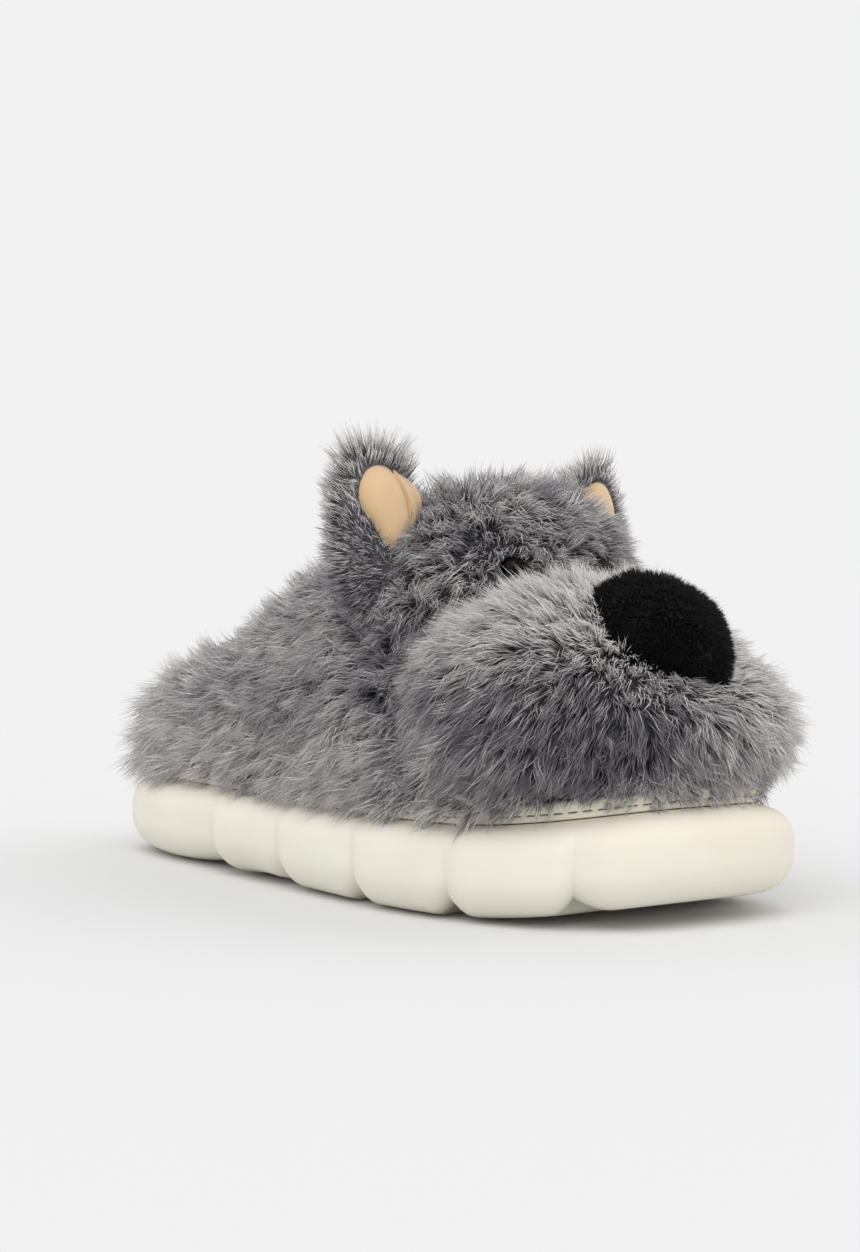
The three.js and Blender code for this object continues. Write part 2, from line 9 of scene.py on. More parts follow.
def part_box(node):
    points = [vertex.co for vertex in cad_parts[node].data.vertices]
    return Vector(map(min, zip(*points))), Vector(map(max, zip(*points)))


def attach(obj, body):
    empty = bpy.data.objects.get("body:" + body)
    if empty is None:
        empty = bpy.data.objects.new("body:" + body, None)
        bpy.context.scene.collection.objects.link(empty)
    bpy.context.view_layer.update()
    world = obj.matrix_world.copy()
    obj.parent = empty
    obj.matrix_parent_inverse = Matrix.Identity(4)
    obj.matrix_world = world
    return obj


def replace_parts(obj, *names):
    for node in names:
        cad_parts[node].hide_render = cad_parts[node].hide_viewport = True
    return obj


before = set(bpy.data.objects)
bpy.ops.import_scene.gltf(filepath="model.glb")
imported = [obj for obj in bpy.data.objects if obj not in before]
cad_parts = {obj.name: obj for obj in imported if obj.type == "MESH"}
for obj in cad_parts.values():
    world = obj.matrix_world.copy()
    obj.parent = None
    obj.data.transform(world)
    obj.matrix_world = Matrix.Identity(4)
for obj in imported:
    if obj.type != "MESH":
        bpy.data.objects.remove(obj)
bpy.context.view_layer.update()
mm = 0.001
least = 0.01  # keeps a division off nought

# The slipper is worked out in millimetres on its last, toe towards -Y, and moved to the frame at the end
last = {
    "length": 248, "ball": 90.5, "instep": 69, "widest": 44, "insoleTop": 28, "footbed": 22,
    "bluntness": 3.4, "steepness": 6, "roofSquareness": 3.2, "baseSquareness": 6, "wall": 5, "gap": 0.3,
}
lastRows = {  # from heel to toe: half widths as shares of the ball, the roof as a share of the instep
    "along":   [0.0, 0.07, 0.16, 0.27, 0.37, 0.46, 0.56, 0.68, 0.8, 0.9, 1.0],
    "lateral": [0.313, 0.32, 0.328, 0.347, 0.373, 0.405, 0.445, 0.486, 0.492, 0.474, 0.437],
    "medial":  [0.313, 0.32, 0.327, 0.333, 0.348, 0.37, 0.41, 0.455, 0.474, 0.467, 0.449],
    "roof":    [0.3, 0.43, 0.57, 0.72, 0.88, 0.99, 1.0, 0.84, 0.6, 0.4, 0.25],
}


def readRows(rows, column, along):  # a smooth curve through the rows, as the solids have it
    places, values = np.array(rows["along"]), np.array(rows[column])
    slopes = np.empty_like(values)
    slopes[1:-1] = (values[2:] - values[:-2]) / (places[2:] - places[:-2])
    slopes[0] = (values[1] - values[0]) / (places[1] - places[0])
    slopes[-1] = (values[-1] - values[-2]) / (places[-1] - places[-2])
    along = np.clip(along, places[0], places[-1])
    row = np.clip(np.searchsorted(places, along) - 1, 0, len(places) - 2)
    span = places[row + 1] - places[row]
    t = (along - places[row]) / span
    leave, arrive = slopes[row] * span, slopes[row + 1] * span
    rise = values[row + 1] - values[row]
    return (values[row] + t * leave + t**2 * (3 * rise - 2 * leave - arrive)
            + t**3 * (leave + arrive - 2 * rise))


def bluntness(share, power):
    return (1 - np.minimum(1, np.abs(share)) ** power) ** (1 / power)


def stretched(parts, power):  # takes a direction out to the squarer curve
    return sum(np.abs(part) ** power for part in parts) ** (-1 / power)


def stacked(*parts):
    return np.stack(np.broadcast_arrays(*parts), -1)


def unit(vectors):
    return vectors / np.maximum(np.linalg.norm(vectors, axis=-1, keepdims=True), 1e-9)


def near(value, width):
    return np.exp(-((value / width) ** 2))


def eased(value, low, high):  # from 0 at low to 1 at high
    t = np.clip((value - low) / (high - low), 0, 1)
    return t * t * (3 - 2 * t)


blur = (-12, -6, 0, 6, 12)  # degrees to either side over which a table that goes round is smoothed


def around360(rows, angle):  # reads a table that goes round in degrees
    places = np.radians(rows["angle"])
    turned = (angle + math.radians(shift) for shift in blur)
    return sum(np.interp(each, places, rows["radius"], period=2 * math.pi) for each in turned) / len(blur)


def halfWidth(along, lateral):
    widths = (readRows(lastRows, side, along) for side in ("lateral", "medial"))
    return last["ball"] * np.where(lateral, *widths)


def planPoint(turn, outset):
    forward = np.cos(turn)
    lateral = np.sin(turn) >= 0
    half = halfWidth((1 - forward) / 2, lateral) + outset
    x = np.where(lateral, -1, 1) * half * bluntness(forward, last["bluntness"])
    return x, forward * (last["length"] / 2 + outset)


def lastPoint(turn, around, offset):
    forward, aside, up = np.cos(turn), np.cos(around), np.sin(around)
    along = (1 - forward) / 2
    half = halfWidth(along, aside < 0) + offset
    roof = last["insoleTop"] + last["instep"] * readRows(lastRows, "roof", along) + offset
    reach = np.where(up > 0, roof - last["widest"], last["widest"] - last["footbed"] / 2 + offset)
    roofed, based = (stretched((aside, up), last[key]) for key in ("roofSquareness", "baseSquareness"))
    stretch = np.where(up > 0, roofed, based)
    return stacked(
        aside * stretch * half * bluntness(forward, last["bluntness"]),
        forward * (last["length"] / 2 + offset),
        last["widest"] + up * stretch * reach * bluntness(forward, last["steepness"]),
    )


def upperDepth(point, offset):  # under 1 inside the upper
    x, y, z = point.T
    forward = y / (last["length"] / 2 + offset)
    along = (1 - forward) / 2
    half = (halfWidth(along, x < 0) + offset) * bluntness(forward, last["bluntness"])
    roof = last["insoleTop"] + last["instep"] * readRows(lastRows, "roof", along) + offset
    rise = (roof - last["widest"]) * bluntness(forward, last["steepness"])
    power = last["roofSquareness"]
    sides = np.abs(x) / np.maximum(half, least)
    over = np.maximum(z - last["widest"], 0) / np.maximum(rise, least)
    return (sides**power + over**power) ** (1 / power)


head = {
    "muzzleLength": 91, "muzzleFront": 132, "muzzleWidth": 110, "muzzleCrown": 94, "muzzleWidest": 58,
    "muzzleFoot": 31, "muzzleSquareness": 2.6, "browWidth": 82, "browDepth": 60, "browHeight": 39,
    "browLevel": 84, "browPlace": 40, "browSquareness": 2.4,
}
muzzleRows = {  # from the muzzle's rear to its front
    "along": [0.0, 0.16, 0.36, 0.56, 0.72, 0.86, 1.0],
    "half":  [0.37, 0.45, 0.49, 0.5, 0.49, 0.47, 0.44],
    "crown": [0.83, 0.9, 0.96, 1.0, 0.97, 0.87, 0.74],
}
cheek = {"from": 8, "fall": 0.42, "low": 50, "high": 84, "rear": 62, "front": 112}  # on the inner side only


def cheekFall(y, z):
    up = eased(z, cheek["low"], cheek["high"])
    return 1 - cheek["fall"] * up * eased(-y, cheek["rear"], cheek["front"])


def muzzleSection(forward, above, offset):  # half its width, and its reach above or below its widest level
    along = (1 + forward) / 2
    half = head["muzzleWidth"] * readRows(muzzleRows, "half", along) + offset
    crown = head["muzzleCrown"] * readRows(muzzleRows, "crown", along) + offset
    level = head["muzzleWidest"]
    return half, np.where(above, crown - level, level - head["muzzleFoot"] + offset)


def muzzlePoint(turn, around, offset):
    forward, aside, up = -np.cos(turn), np.cos(around), np.sin(around)
    half, reach = muzzleSection(forward, up > 0, offset)
    stretch = stretched((aside, up), head["muzzleSquareness"]) * bluntness(forward, head["muzzleSquareness"])
    middle = head["muzzleLength"] / 2
    x = aside * stretch * half
    y = middle - head["muzzleFront"] - forward * (middle + offset)
    z = head["muzzleWidest"] + up * stretch * reach
    slim = cheek["from"] + (x - cheek["from"]) * cheekFall(y, z)
    return stacked(np.where(x > cheek["from"], slim, x), y, z)


def muzzleDepth(point):  # under 1 inside the muzzle, 2 before and behind it
    x, y, z = point.T
    x = np.where(x > cheek["from"], cheek["from"] + (x - cheek["from"]) / cheekFall(y, z), x)
    middle = head["muzzleLength"] / 2
    forward = (middle - head["muzzleFront"] - y) / middle
    half, reach = muzzleSection(forward, z > head["muzzleWidest"], 0)
    power = head["muzzleSquareness"]
    across = (np.abs(x / half) ** power + np.abs((z - head["muzzleWidest"]) / reach) ** power) ** (1 / power)
    return np.where(np.abs(forward) < 1, (across**power + np.abs(forward) ** power) ** (1 / power), 2)


def browPoint(turn, around, offset):
    way = (np.sin(turn) * np.cos(around), np.cos(turn) + 0 * around, np.sin(turn) * np.sin(around))
    stretch = stretched(way, head["browSquareness"])
    return stacked(
        way[0] * stretch * (head["browWidth"] / 2 + offset),
        way[1] * stretch * (head["browDepth"] / 2 + offset) - head["browPlace"],
        way[2] * stretch * (head["browHeight"] + offset) + head["browLevel"],
    )


def browDepth(point):  # under 1 inside the forehead
    x, y, z = point.T
    parts = (x / (head["browWidth"] / 2), (y + head["browPlace"]) / (head["browDepth"] / 2),
             (z - head["browLevel"]) / head["browHeight"])
    return 1 / stretched(parts, head["browSquareness"])


ear = {  # -1 is the right one and 1 the left; the two don't sit quite alike
    "width": 26, "thickness": 15, "length": 54, "place": 35, "splay": 0.13,
    "spread": {-1: 43.5, 1: 39.5}, "level": {-1: 109, 1: 105}, "turn": {-1: 0.36, 1: 0.2},
    "fold": {-1: 1, 1: 0.2}, "tuft": {-1: 2.4, 1: 0},
}
lining = {
    "inward": 4.5, "rise": 9, "thickness": 3.4, "sunk": 1.0, "frontShare": 0.75, "backShare": 0.4,
    "foldPlace": 5.3, "foldBow": 0.0155, "foldFrom": 3, "foldWidth": 0.8, "foldDepth": 1.7, "foldLap": 1.3,
    "foldStart": 0.5, "foldRun": 4, "leastBed": 0.06, "rounds": 84, "frontRings": 26, "backRings": 8,
    "angle":  [-162, -118, -100, -84, -68, -31, 16, 54, 86, 107, 133],  # round its middle, 0 towards the head
    "radius": [8.8, 11, 14.5, 12.5, 9.5, 9.2, 10.9, 10.6, 12.8, 16.2, 14.2],
}


def earAxes(side):  # out of its face, across towards the head, up to the tip
    turn = ear["turn"][side]
    face = Vector((side * math.sin(turn), -math.cos(turn), 0))
    tip = Vector((side * math.sin(ear["splay"]), 0, math.cos(ear["splay"])))
    inward = face.cross(tip).normalized() * side
    return np.array(face), np.array(inward), np.array(tip - face * tip.dot(face)) / tip.cross(face).length


def earMiddle(side):
    return np.array((side * ear["spread"][side], -ear["place"], ear["level"][side]))


def earPoint(turn, around, offset, side):
    face, inward, tip = earAxes(side)
    parts = (
        (np.sin(turn) * np.cos(around) * (ear["width"] / 2 + offset), inward * side),
        (np.sin(turn) * np.sin(around) * (ear["thickness"] / 2 + offset), face),
        ((np.cos(turn) + 0 * around) * (ear["length"] / 2 + offset), tip),
    )
    return earMiddle(side) + sum(amount[..., None] * axis for amount, axis in parts)


nose = {"thickness": 24, "place": 115, "level": 81.5, "slope": 0.76, "fullness": 0.8}
noseOutline = {  # degrees from its inner side round over its top; a flat top and a tip low on the inner side
    "angle":  [-164, -156, -138, -108, -90, -78, -60, -37, -12, 8, 30, 52, 72, 101, 124, 143, 175],
    "radius": [22, 20.2, 15, 15, 19, 22.5, 21, 18.7, 18.5, 18.8, 18.0, 18.3, 18.5, 19.9, 22, 22.3, 21.5],
}
eye = {
    "diameter": 9, "spread": 16.5, "rise": 16, "sunk": 1.0, "look": (0.35, -0.9, 0.25), "bulge": 0.92,
    "rounds": 40, "domeRings": 12, "tip": (0.2, -3.4),
    "shank": [(1, -0.4), (0.94, -0.8), (0.6, -1.2), (0.3, -3.2)],  # shares of the radius, and levels
}


def nosePoint(turn, around, offset):
    outOf = np.array((0, -math.cos(nose["slope"]), math.sin(nose["slope"])))
    upSlope = np.array((0, math.sin(nose["slope"]), math.cos(nose["slope"])))
    rim = np.sin(turn) ** nose["fullness"]
    reach = rim * (around360(noseOutline, around) + offset)
    middle = np.array((0, -nose["place"], nose["level"]))
    return (middle + (np.cos(around) * reach)[..., None] * np.array((1, 0, 0))
            + (np.sin(around) * reach)[..., None] * upSlope
            + ((np.cos(turn) + 0 * around) * (nose["thickness"] / 2 + offset))[..., None] * outOf)


# Where the model's own middle lies in the frame, read from the sole's box
soleMargin = 17
soleLow, soleHigh = (np.array(corner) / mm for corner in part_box("sole"))
turns = np.linspace(0, 2 * math.pi, 2001)
planX, planY = planPoint(turns, soleMargin)
origin = np.array(((soleLow[0] + soleHigh[0] - planX.min() - planX.max()) / 2,
                   (soleLow[1] + soleHigh[1] - planY.min() - planY.max()) / 2, 0))
print("origin of the last in the frame, mm", origin.round(2))


# Materials: a wire is one socket's value, with the arithmetic that the finishes use
class Wire:
    def __init__(self, finish, socket):
        self.finish, self.socket = finish, socket

    def math(self, operation, *values):
        return self.finish.node("ShaderNodeMath", {"operation": operation}, dict(enumerate(values)))

    def __add__(self, other):
        return self.math("ADD", self, other)

    def __radd__(self, other):
        return self.math("ADD", other, self)

    def __sub__(self, other):
        return self.math("SUBTRACT", self, other)

    def __rsub__(self, other):
        return self.math("SUBTRACT", other, self)

    def __mul__(self, other):
        return self.math("MULTIPLY", self, other)

    def __rmul__(self, other):
        return self.math("MULTIPLY", other, self)

    def clamped(self, low, high):
        return self.finish.node("ShaderNodeClamp", {}, {"Value": self, "Min": low, "Max": high})


class Finish:
    def __init__(self, name):
        self.material = bpy.data.materials.new(name)
        self.material.use_nodes = True
        self.tree = self.material.node_tree
        self.tree.nodes.clear()
        self.shader = self.tree.nodes.new("ShaderNodeBsdfPrincipled")
        out = self.tree.nodes.new("ShaderNodeOutputMaterial")
        self.tree.links.new(self.shader.outputs[0], out.inputs[0])

    def node(self, kind, settings, sockets, output=0):
        made = self.tree.nodes.new(kind)
        for key, value in settings.items():
            if key == "stops":
                self.setStops(made.color_ramp, value)
            else:
                setattr(made, key, value)
        for key, value in sockets.items():
            if isinstance(value, Wire):
                self.tree.links.new(value.socket, made.inputs[key])
            else:
                made.inputs[key].default_value = value
        return Wire(self, made.outputs[output])

    def setStops(self, ramp, stops):
        while len(ramp.elements) < len(stops):
            ramp.elements.new(1)
        for element, (place, value) in zip(ramp.elements, stops):
            element.position = place
            element.color = (value, value, value, 1)

    def place(self):  # the point in millimetres
        point = self.node("ShaderNodeTexCoord", {}, {}, "Object")
        return self.node("ShaderNodeVectorMath", {"operation": "SCALE"}, {0: point, "Scale": 1 / mm})

    def noise(self, where, scale, detail=2.0, roughness=0.5):
        return self.node("ShaderNodeTexNoise", {}, {
            "Vector": where, "Scale": scale, "Detail": detail, "Roughness": roughness})

    def cells(self, where, scale, smoothness):
        return self.node("ShaderNodeTexVoronoi", {"feature": "SMOOTH_F1"}, {
            "Vector": where, "Scale": scale, "Smoothness": smoothness})

    def ramp(self, value, *stops):
        return self.node("ShaderNodeValToRGB", {"stops": stops}, {"Fac": value})

    def mixed(self, factor, one, other):
        return self.node("ShaderNodeMix", {"data_type": "RGBA"}, {0: factor, 6: one, 7: other}, 2)

    def bump(self, height, depth, strength):
        return self.node("ShaderNodeBump", {}, {
            "Height": height, "Distance": depth * mm, "Strength": strength})

    def surface(self, **sockets):
        for key, value in sockets.items():
            socket = self.shader.inputs[key.replace("_", " ")]
            if isinstance(value, Wire):
                self.tree.links.new(value.socket, socket)
            else:
                socket.default_value = value
        return self.material


def colour(code):  # from a six-figure colour as painters write it
    parts = [int(code[i:i + 2], 16) / 255 for i in (1, 3, 5)]
    return tuple(part / 12.92 if part < 0.04045 else ((part + 0.055) / 1.055) ** 2.4 for part in parts) + (1,)


# The third foam colour is partly painted shade and partly grime, towards the sole's top edge
foam = {"light": "#f0eee2", "deep": "#e4e0cf", "topShadeAndGrime": "#ddcbbb", "skinDepth": 0.05}


def foamFinish():
    f = Finish("creamFoam")
    where = f.place()
    cloud = f.noise(where, scale=0.02, detail=3)
    grain = f.noise(where, scale=1.6, detail=2)
    height = f.node("ShaderNodeSeparateXYZ", {}, {0: where}, 2)
    # Darker and warmer towards the sole's top edge, under the rand and the pile: partly painted shade, partly
    # grime
    topShadeAndGrime = f.ramp(height * 0.025 + f.noise(where, scale=0.045, detail=2) * 0.3, (0.5, 0.0), (0.95, 0.4))
    tint = f.mixed(cloud, colour(foam["light"]), colour(foam["deep"]))
    return f.surface(
        Base_Color=f.mixed(topShadeAndGrime, tint, colour(foam["topShadeAndGrime"])),
        Roughness=(0.5 + grain * 0.16).clamped(0.4, 0.75),
        Normal=f.bump(grain + f.noise(where, scale=5, detail=1) * 0.4, foam["skinDepth"], strength=0.5),
    )


rand = {
    "light": "#ece8d8", "deep": "#d9d2bf", "inset": 9.5, "thickness": 2.5, "height": 5.2, "foot": 27.3,
    "groove": 0.35,
}


def randFinish():
    f = Finish("creamRand")
    where = f.place()
    pebble = f.cells(where, scale=1.1, smoothness=0.6)
    cloud = f.noise(where, scale=0.05, detail=3)
    return f.surface(
        Base_Color=f.mixed(cloud, colour(rand["light"]), colour(rand["deep"])),
        Roughness=(0.46 + pebble * 0.2).clamped(0.4, 0.7),
        Normal=f.bump(pebble, depth=0.14, strength=0.6),
    )


def threadFinish():
    f = Finish("seamThread")
    twist = f.node("ShaderNodeTexWave", {"bands_direction": "DIAGONAL"}, {"Vector": f.place(), "Scale": 1.4})
    return f.surface(
        Base_Color=f.mixed(twist, colour("#5d574b"), colour("#8a8270")), Roughness=0.7,
        Normal=f.bump(twist, depth=0.06, strength=0.5))


def backingFinish(name, dark, light):
    f = Finish(name)
    where = f.place()
    tufts = f.noise(where, scale=0.5, detail=4, roughness=0.6)
    return f.surface(
        Base_Color=f.mixed(tufts, colour(dark), colour(light)), Roughness=0.95,
        Normal=f.bump(tufts, depth=1.2, strength=0.8))


def fleeceFinish(name, dark, light):
    f = Finish(name)
    where = f.place()
    curl = f.cells(where, scale=0.42, smoothness=0.7)
    hair = f.noise(where, scale=2.2, detail=4, roughness=0.7)
    return f.surface(
        Base_Color=f.mixed((curl * 0.6 + hair * 0.5).clamped(0, 1), colour(dark), colour(light)),
        Roughness=0.95, Sheen_Weight=0.3,
        Normal=f.bump(curl * 0.7 + hair * 0.5, depth=1.0, strength=0.9))


def velourFinish():
    f = Finish("peachVelour")
    where = f.place()
    nap = f.noise(where, scale=3.2, detail=3, roughness=0.6)
    brushed = f.noise(where, scale=0.12, detail=2)
    tint = f.mixed(brushed, colour("#d8b78c"), colour("#e4c8a2"))
    return f.surface(
        Base_Color=f.mixed((nap * 0.5).clamped(0, 1), tint, colour("#c39c72")),
        Roughness=0.9, Sheen_Weight=0.35, Sheen_Roughness=0.5, Normal=f.bump(nap, depth=0.22, strength=0.6))


def beadFinish():
    f = Finish("blackBead")
    scratches = f.noise(f.place(), scale=2.5, detail=3)
    return f.surface(
        Base_Color=colour("#060505"), Roughness=(0.3 + scratches * 0.12).clamped(0.25, 0.45),
        Specular_IOR_Level=0.1, Normal=f.bump(scratches, depth=0.02, strength=0.3))


def pileFinish(name, roughness, sheen):
    f = Finish(name)
    tone = f.node("ShaderNodeVertexColor", {"layer_name": "pileColour"}, {})
    along = f.node("ShaderNodeAttribute", {"attribute_name": "pileAlong"}, {}, "Fac")
    return f.surface(
        Base_Color=tone, Roughness=(roughness - along * 0.15).clamped(0.2, 1),
        Sheen_Weight=sheen, Sheen_Roughness=0.5, Specular_IOR_Level=0.25)


# Meshes: points round and stations along each closed form
nets = {
    "outer": (160, 150), "inner": (140, 130), "carrier": (120, 110), "muzzle": (120, 90), "brow": (110, 80),
    "browCut": (90, 60), "ear": (72, 56), "nose": (90, 60),
}


def placed(name, data):  # a new object in the scene
    made = bpy.data.objects.new(name, data)
    bpy.context.collection.objects.link(made)
    return made


def newPiece(name, mesh, material):
    piece = placed(name, mesh)
    mesh.materials.clear()
    for each in material if isinstance(material, list) else [material]:
        mesh.materials.append(each)
    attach(piece, "root")
    return piece


def meshFrom(name, points, faces):
    mesh = bpy.data.meshes.new(name)
    mesh.from_pydata(((np.asarray(points) + origin) * mm).tolist(), [], faces)
    mesh.validate()
    mesh.update()
    return mesh


def gridFaces(rings, count, joined=False):
    faces = []
    for j in range(rings if joined else rings - 1):
        low, high = j * count, ((j + 1) % rings) * count
        faces += [(low + i, low + (i + 1) % count, high + (i + 1) % count, high + i) for i in range(count)]
    return faces


def closedMesh(name, place, net, *settings):  # a form from pole to pole; its place function gets the settings
    rounds, stations = net
    turn = np.linspace(0, math.pi, stations + 1)[1:-1, None]
    around = np.linspace(0, 2 * math.pi, rounds, endpoint=False)[None, :]
    body = place(turn, around, *settings).reshape(-1, 3)
    poles = place(np.array([[0.0], [math.pi]]), np.array([[0.0]]), *settings).reshape(2, 3)
    faces = gridFaces(stations - 1, rounds)
    first, end = len(body), len(body) + 1
    edge = (stations - 2) * rounds
    faces += [(first, (i + 1) % rounds, i) for i in range(rounds)]
    faces += [(end, edge + i, edge + (i + 1) % rounds) for i in range(rounds)]
    return outwardMesh(meshFrom(name, np.vstack((body, poles)), faces))


def outwardMesh(mesh):
    work = bmesh.new()
    work.from_mesh(mesh)
    bmesh.ops.remove_doubles(work, verts=work.verts, dist=1e-6)
    bmesh.ops.recalc_face_normals(work, faces=work.faces)
    if work.calc_volume(signed=True) < 0:
        bmesh.ops.reverse_faces(work, faces=work.faces)
    work.to_mesh(mesh)
    work.free()
    mesh.polygons.foreach_set("use_smooth", [True] * len(mesh.polygons))
    return mesh


def reworked(mesh, modifiers):  # a mesh after a list of modifiers
    holder = placed("work", mesh)
    others = []
    for kind, settings in modifiers:
        modifier = holder.modifiers.new(kind, kind)
        for key, value in settings.items():
            if isinstance(value, bpy.types.Mesh):
                value = placed("cutter", value)
                others.append(value)
            setattr(modifier, key, value)
    done = bpy.data.meshes.new_from_object(holder.evaluated_get(bpy.context.evaluated_depsgraph_get()))
    for each in [holder, *others]:
        bpy.data.objects.remove(each)
    return done


def cutAway(mesh, *cutters):
    settings = {"operation": "DIFFERENCE", "solver": "MANIFOLD"}
    return reworked(mesh, [("BOOLEAN", settings | {"object": cutter}) for cutter in cutters])


# Sole: the moulded block with its pinched side, from rings round the plan
sole = {
    "thickness": 27, "topEdge": 9, "ledge": 3.8, "spring": 6.5, "springStart": 0.76, "arch": 1.6,
    "archMiddle": 0.41, "archSpan": 0.09, "pinch": 3, "pinchRise": 4.5, "pinchFade": 0.85, "pinchReach": 0.62,
    "pinches": [0.31, 0.473, 0.646, 0.802, 0.943], "channel": 3, "channelSquareness": 8, "levels": 22,
    "endSteps": 56, "lobeSteps": 40, "strips": 12,
}
soleSide = {
    "along": [0, 0.05, 0.16, 0.34, 0.56, 0.8, 0.94, 1],
    "inset": [13, 7.54, 3.25, 0.52, 0, 1.08, 4.5, 9],
}


def springLift(along):
    return np.maximum(0, (along - sole["springStart"]) / (1 - sole["springStart"])) ** 2 * sole["spring"]


def archLift(along):
    return np.maximum(0, 1 - ((along - sole["archMiddle"]) / sole["archSpan"]) ** 2) * sole["arch"]


def rimStations():  # the turn of each station round the rim, and how far it is pinched
    marks = [0, *np.arccos(1 - 2 * np.array(sole["pinches"])), math.pi]
    turn, pinch = [], []
    for k in range(len(marks) - 1):
        outer = k in (0, len(marks) - 2)
        share = np.linspace(0, 1, sole["endSteps"] if outer else sole["lobeSteps"], endpoint=False)
        toPinch = share if k == 0 else 1 - share if outer else np.abs(2 * share - 1)
        turn += list(marks[k] + (marks[k + 1] - marks[k]) * share)
        pinch += list(np.maximum(0, (toPinch - sole["pinchReach"]) / (1 - sole["pinchReach"])) ** 2)
    turn, pinch = np.array(turn + [math.pi]), np.array(pinch + [0])
    return np.concatenate((turn, 2 * math.pi - turn[-2:0:-1])), np.concatenate((pinch, pinch[-2:0:-1]))


rimTurn, rimPinch = rimStations()
rimAlong = (1 - np.cos(rimTurn)) / 2


def rimRing(outset, level):
    x, y = planPoint(rimTurn, outset)
    return stacked(x, y, level)


def stripCap(points, faces, first, steps, height):  # closes a ring by strips from side to side
    count = len(rimTurn)
    half = count // 2
    rows = []
    for i in range(half + 1):
        start, stop = first + i, first + (count - i) % count
        row = [start]
        for k in range(1, steps):
            if start != stop:
                share = k / steps
                point = points[start] * (1 - share) + points[stop] * share
                point[2] = height(i, abs(2 * share - 1), point[2])
                points.append(point)
            row.append(len(points) - 1 if start != stop else start)
        rows.append(row + [stop])
    for i in range(half):
        for k in range(steps):
            quad = (rows[i][k], rows[i + 1][k], rows[i + 1][k + 1], rows[i][k + 1])
            faces.append(tuple(dict.fromkeys(quad)))


def flat(i, side, level):
    return level


def cappedMesh(name, rings, under, over):  # rings closed below and above by strips at some height
    points, faces = list(np.concatenate(rings)), gridFaces(len(rings), len(rimTurn))
    stripCap(points, faces, 0, *under)
    stripCap(points, faces, (len(rings) - 1) * len(rimTurn), *over)
    return outwardMesh(meshFrom(name, points, [f for f in faces if len(f) > 2]))


def soleMesh(grow=0.0):
    lift = springLift(rimAlong) + archLift(rimAlong)
    top = sole["thickness"] + springLift(rimAlong) + grow
    rings = []
    for step in range(sole["levels"] + 1):
        up = (1 - math.cos(math.pi * step / sole["levels"])) / 2
        pinched = sole["pinch"] * rimPinch * (1 - sole["pinchFade"] * up**2)
        inset = float(readRows(soleSide, "inset", np.array(up)))
        bottom = lift + sole["pinchRise"] * rimPinch * (1 - up) ** 3 - grow
        rings.append(rimRing(soleMargin - max(inset, 0) - pinched + grow, bottom + (top - bottom) * up))
    ledge = soleMargin - sole["topEdge"] - sole["ledge"] - grow
    rings.append(rimRing(ledge, top))
    rings.append(rimRing(ledge, last["footbed"] + grow + 0 * rimAlong))
    underside = lift - grow

    def channelled(i, side, level):
        cut = sole["channel"] * rimPinch[i]
        return underside[i] + cut + (level - underside[i] - cut) * side ** sole["channelSquareness"]

    return cappedMesh("sole_form", rings, (sole["strips"], channelled), (2, flat))


def randMesh(grow=0.0):  # its section runs from the outer foot up, over the top and down inside
    outer = soleMargin - rand["inset"] + grow
    inner = outer - rand["thickness"] - 2 * grow
    foot, top = rand["foot"] - grow, rand["foot"] + rand["height"] + grow
    seam = outer - (0 if grow else rand["groove"])
    section = [
        (outer - 0.3, foot), (outer, foot + 0.3), (outer, foot + 1.3), (seam, foot + 1.9),
        (outer, foot + 2.5), (outer, top - 1.1), (outer - 0.3, top - 0.4), (outer - 0.9, top),
        (inner + 0.4, top), (inner, top - 0.3), (inner, foot),
    ]
    rings = [rimRing(outset, z + springLift(rimAlong)) for outset, z in section]
    faces = gridFaces(len(rings), len(rimTurn), joined=True)
    return outwardMesh(meshFrom("rand_form", np.concatenate(rings), faces))


soleForm = newPiece("sole_block", soleMesh(), foamFinish())
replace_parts(soleForm, "sole")
randForm = newPiece("rand_strip", randMesh(), randFinish())
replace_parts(randForm, "rand")
print("sole and rand made")

# Stitches: short sunk capsules along the rand
stitch = {
    "pitch": 4.3, "length": 2.9, "thickness": 0.55, "level": 1.9, "sunk": 0.21, "sides": 8, "samples": 4001,
    "along": [-0.46, -0.36, 0, 0.36, 0.46],
    "swell": [0.55, 0.9, 1, 0.9, 0.55],
}


def stitchMesh():
    fine = np.linspace(0, 2 * math.pi, stitch["samples"])
    x, y = planPoint(fine, soleMargin - rand["inset"])
    path = stacked(x, y, rand["foot"] + stitch["level"] + springLift((1 - np.cos(fine)) / 2))
    run = np.concatenate(([0], np.cumsum(np.linalg.norm(np.diff(path, axis=0), axis=1))))
    count = round(run[-1] / stitch["pitch"])
    sides, rows = stitch["sides"], len(stitch["along"])
    points, faces = [], []
    for i in range(1, count):
        places = [run[-1] * i / count + end * stitch["length"] for end in (-0.5, 0.5)]
        start, stop = (np.array([np.interp(place, run, column) for column in path.T]) for place in places)
        direction = stop - start
        outward = np.cross(direction, (0, 0, 1))
        outward /= np.linalg.norm(outward)
        if np.dot(outward[:2], start[:2]) < 0:
            outward = -outward
        centre = (start + stop) / 2 - outward * stitch["sunk"]
        upward = np.cross(outward, direction / np.linalg.norm(direction))
        base = len(points)
        for share, swell in zip(stitch["along"], stitch["swell"]):
            for k in range(sides):
                angle = 2 * math.pi * k / sides
                way = math.cos(angle) * outward + math.sin(angle) * upward
                points.append(centre + direction * share + way * swell * stitch["thickness"] / 2)
        points += [centre - direction / 2, centre + direction / 2]
        tip, top = base + rows * sides, base + (rows - 1) * sides
        faces += [tuple(base + n for n in f) for f in gridFaces(rows, sides)]
        faces += [(tip, base + (k + 1) % sides, base + k) for k in range(sides)]
        faces += [(tip + 1, top + k, top + (k + 1) % sides) for k in range(sides)]
    return outwardMesh(meshFrom("rand_stitching", points, faces))


newPiece("rand_stitching", stitchMesh(), threadFinish())

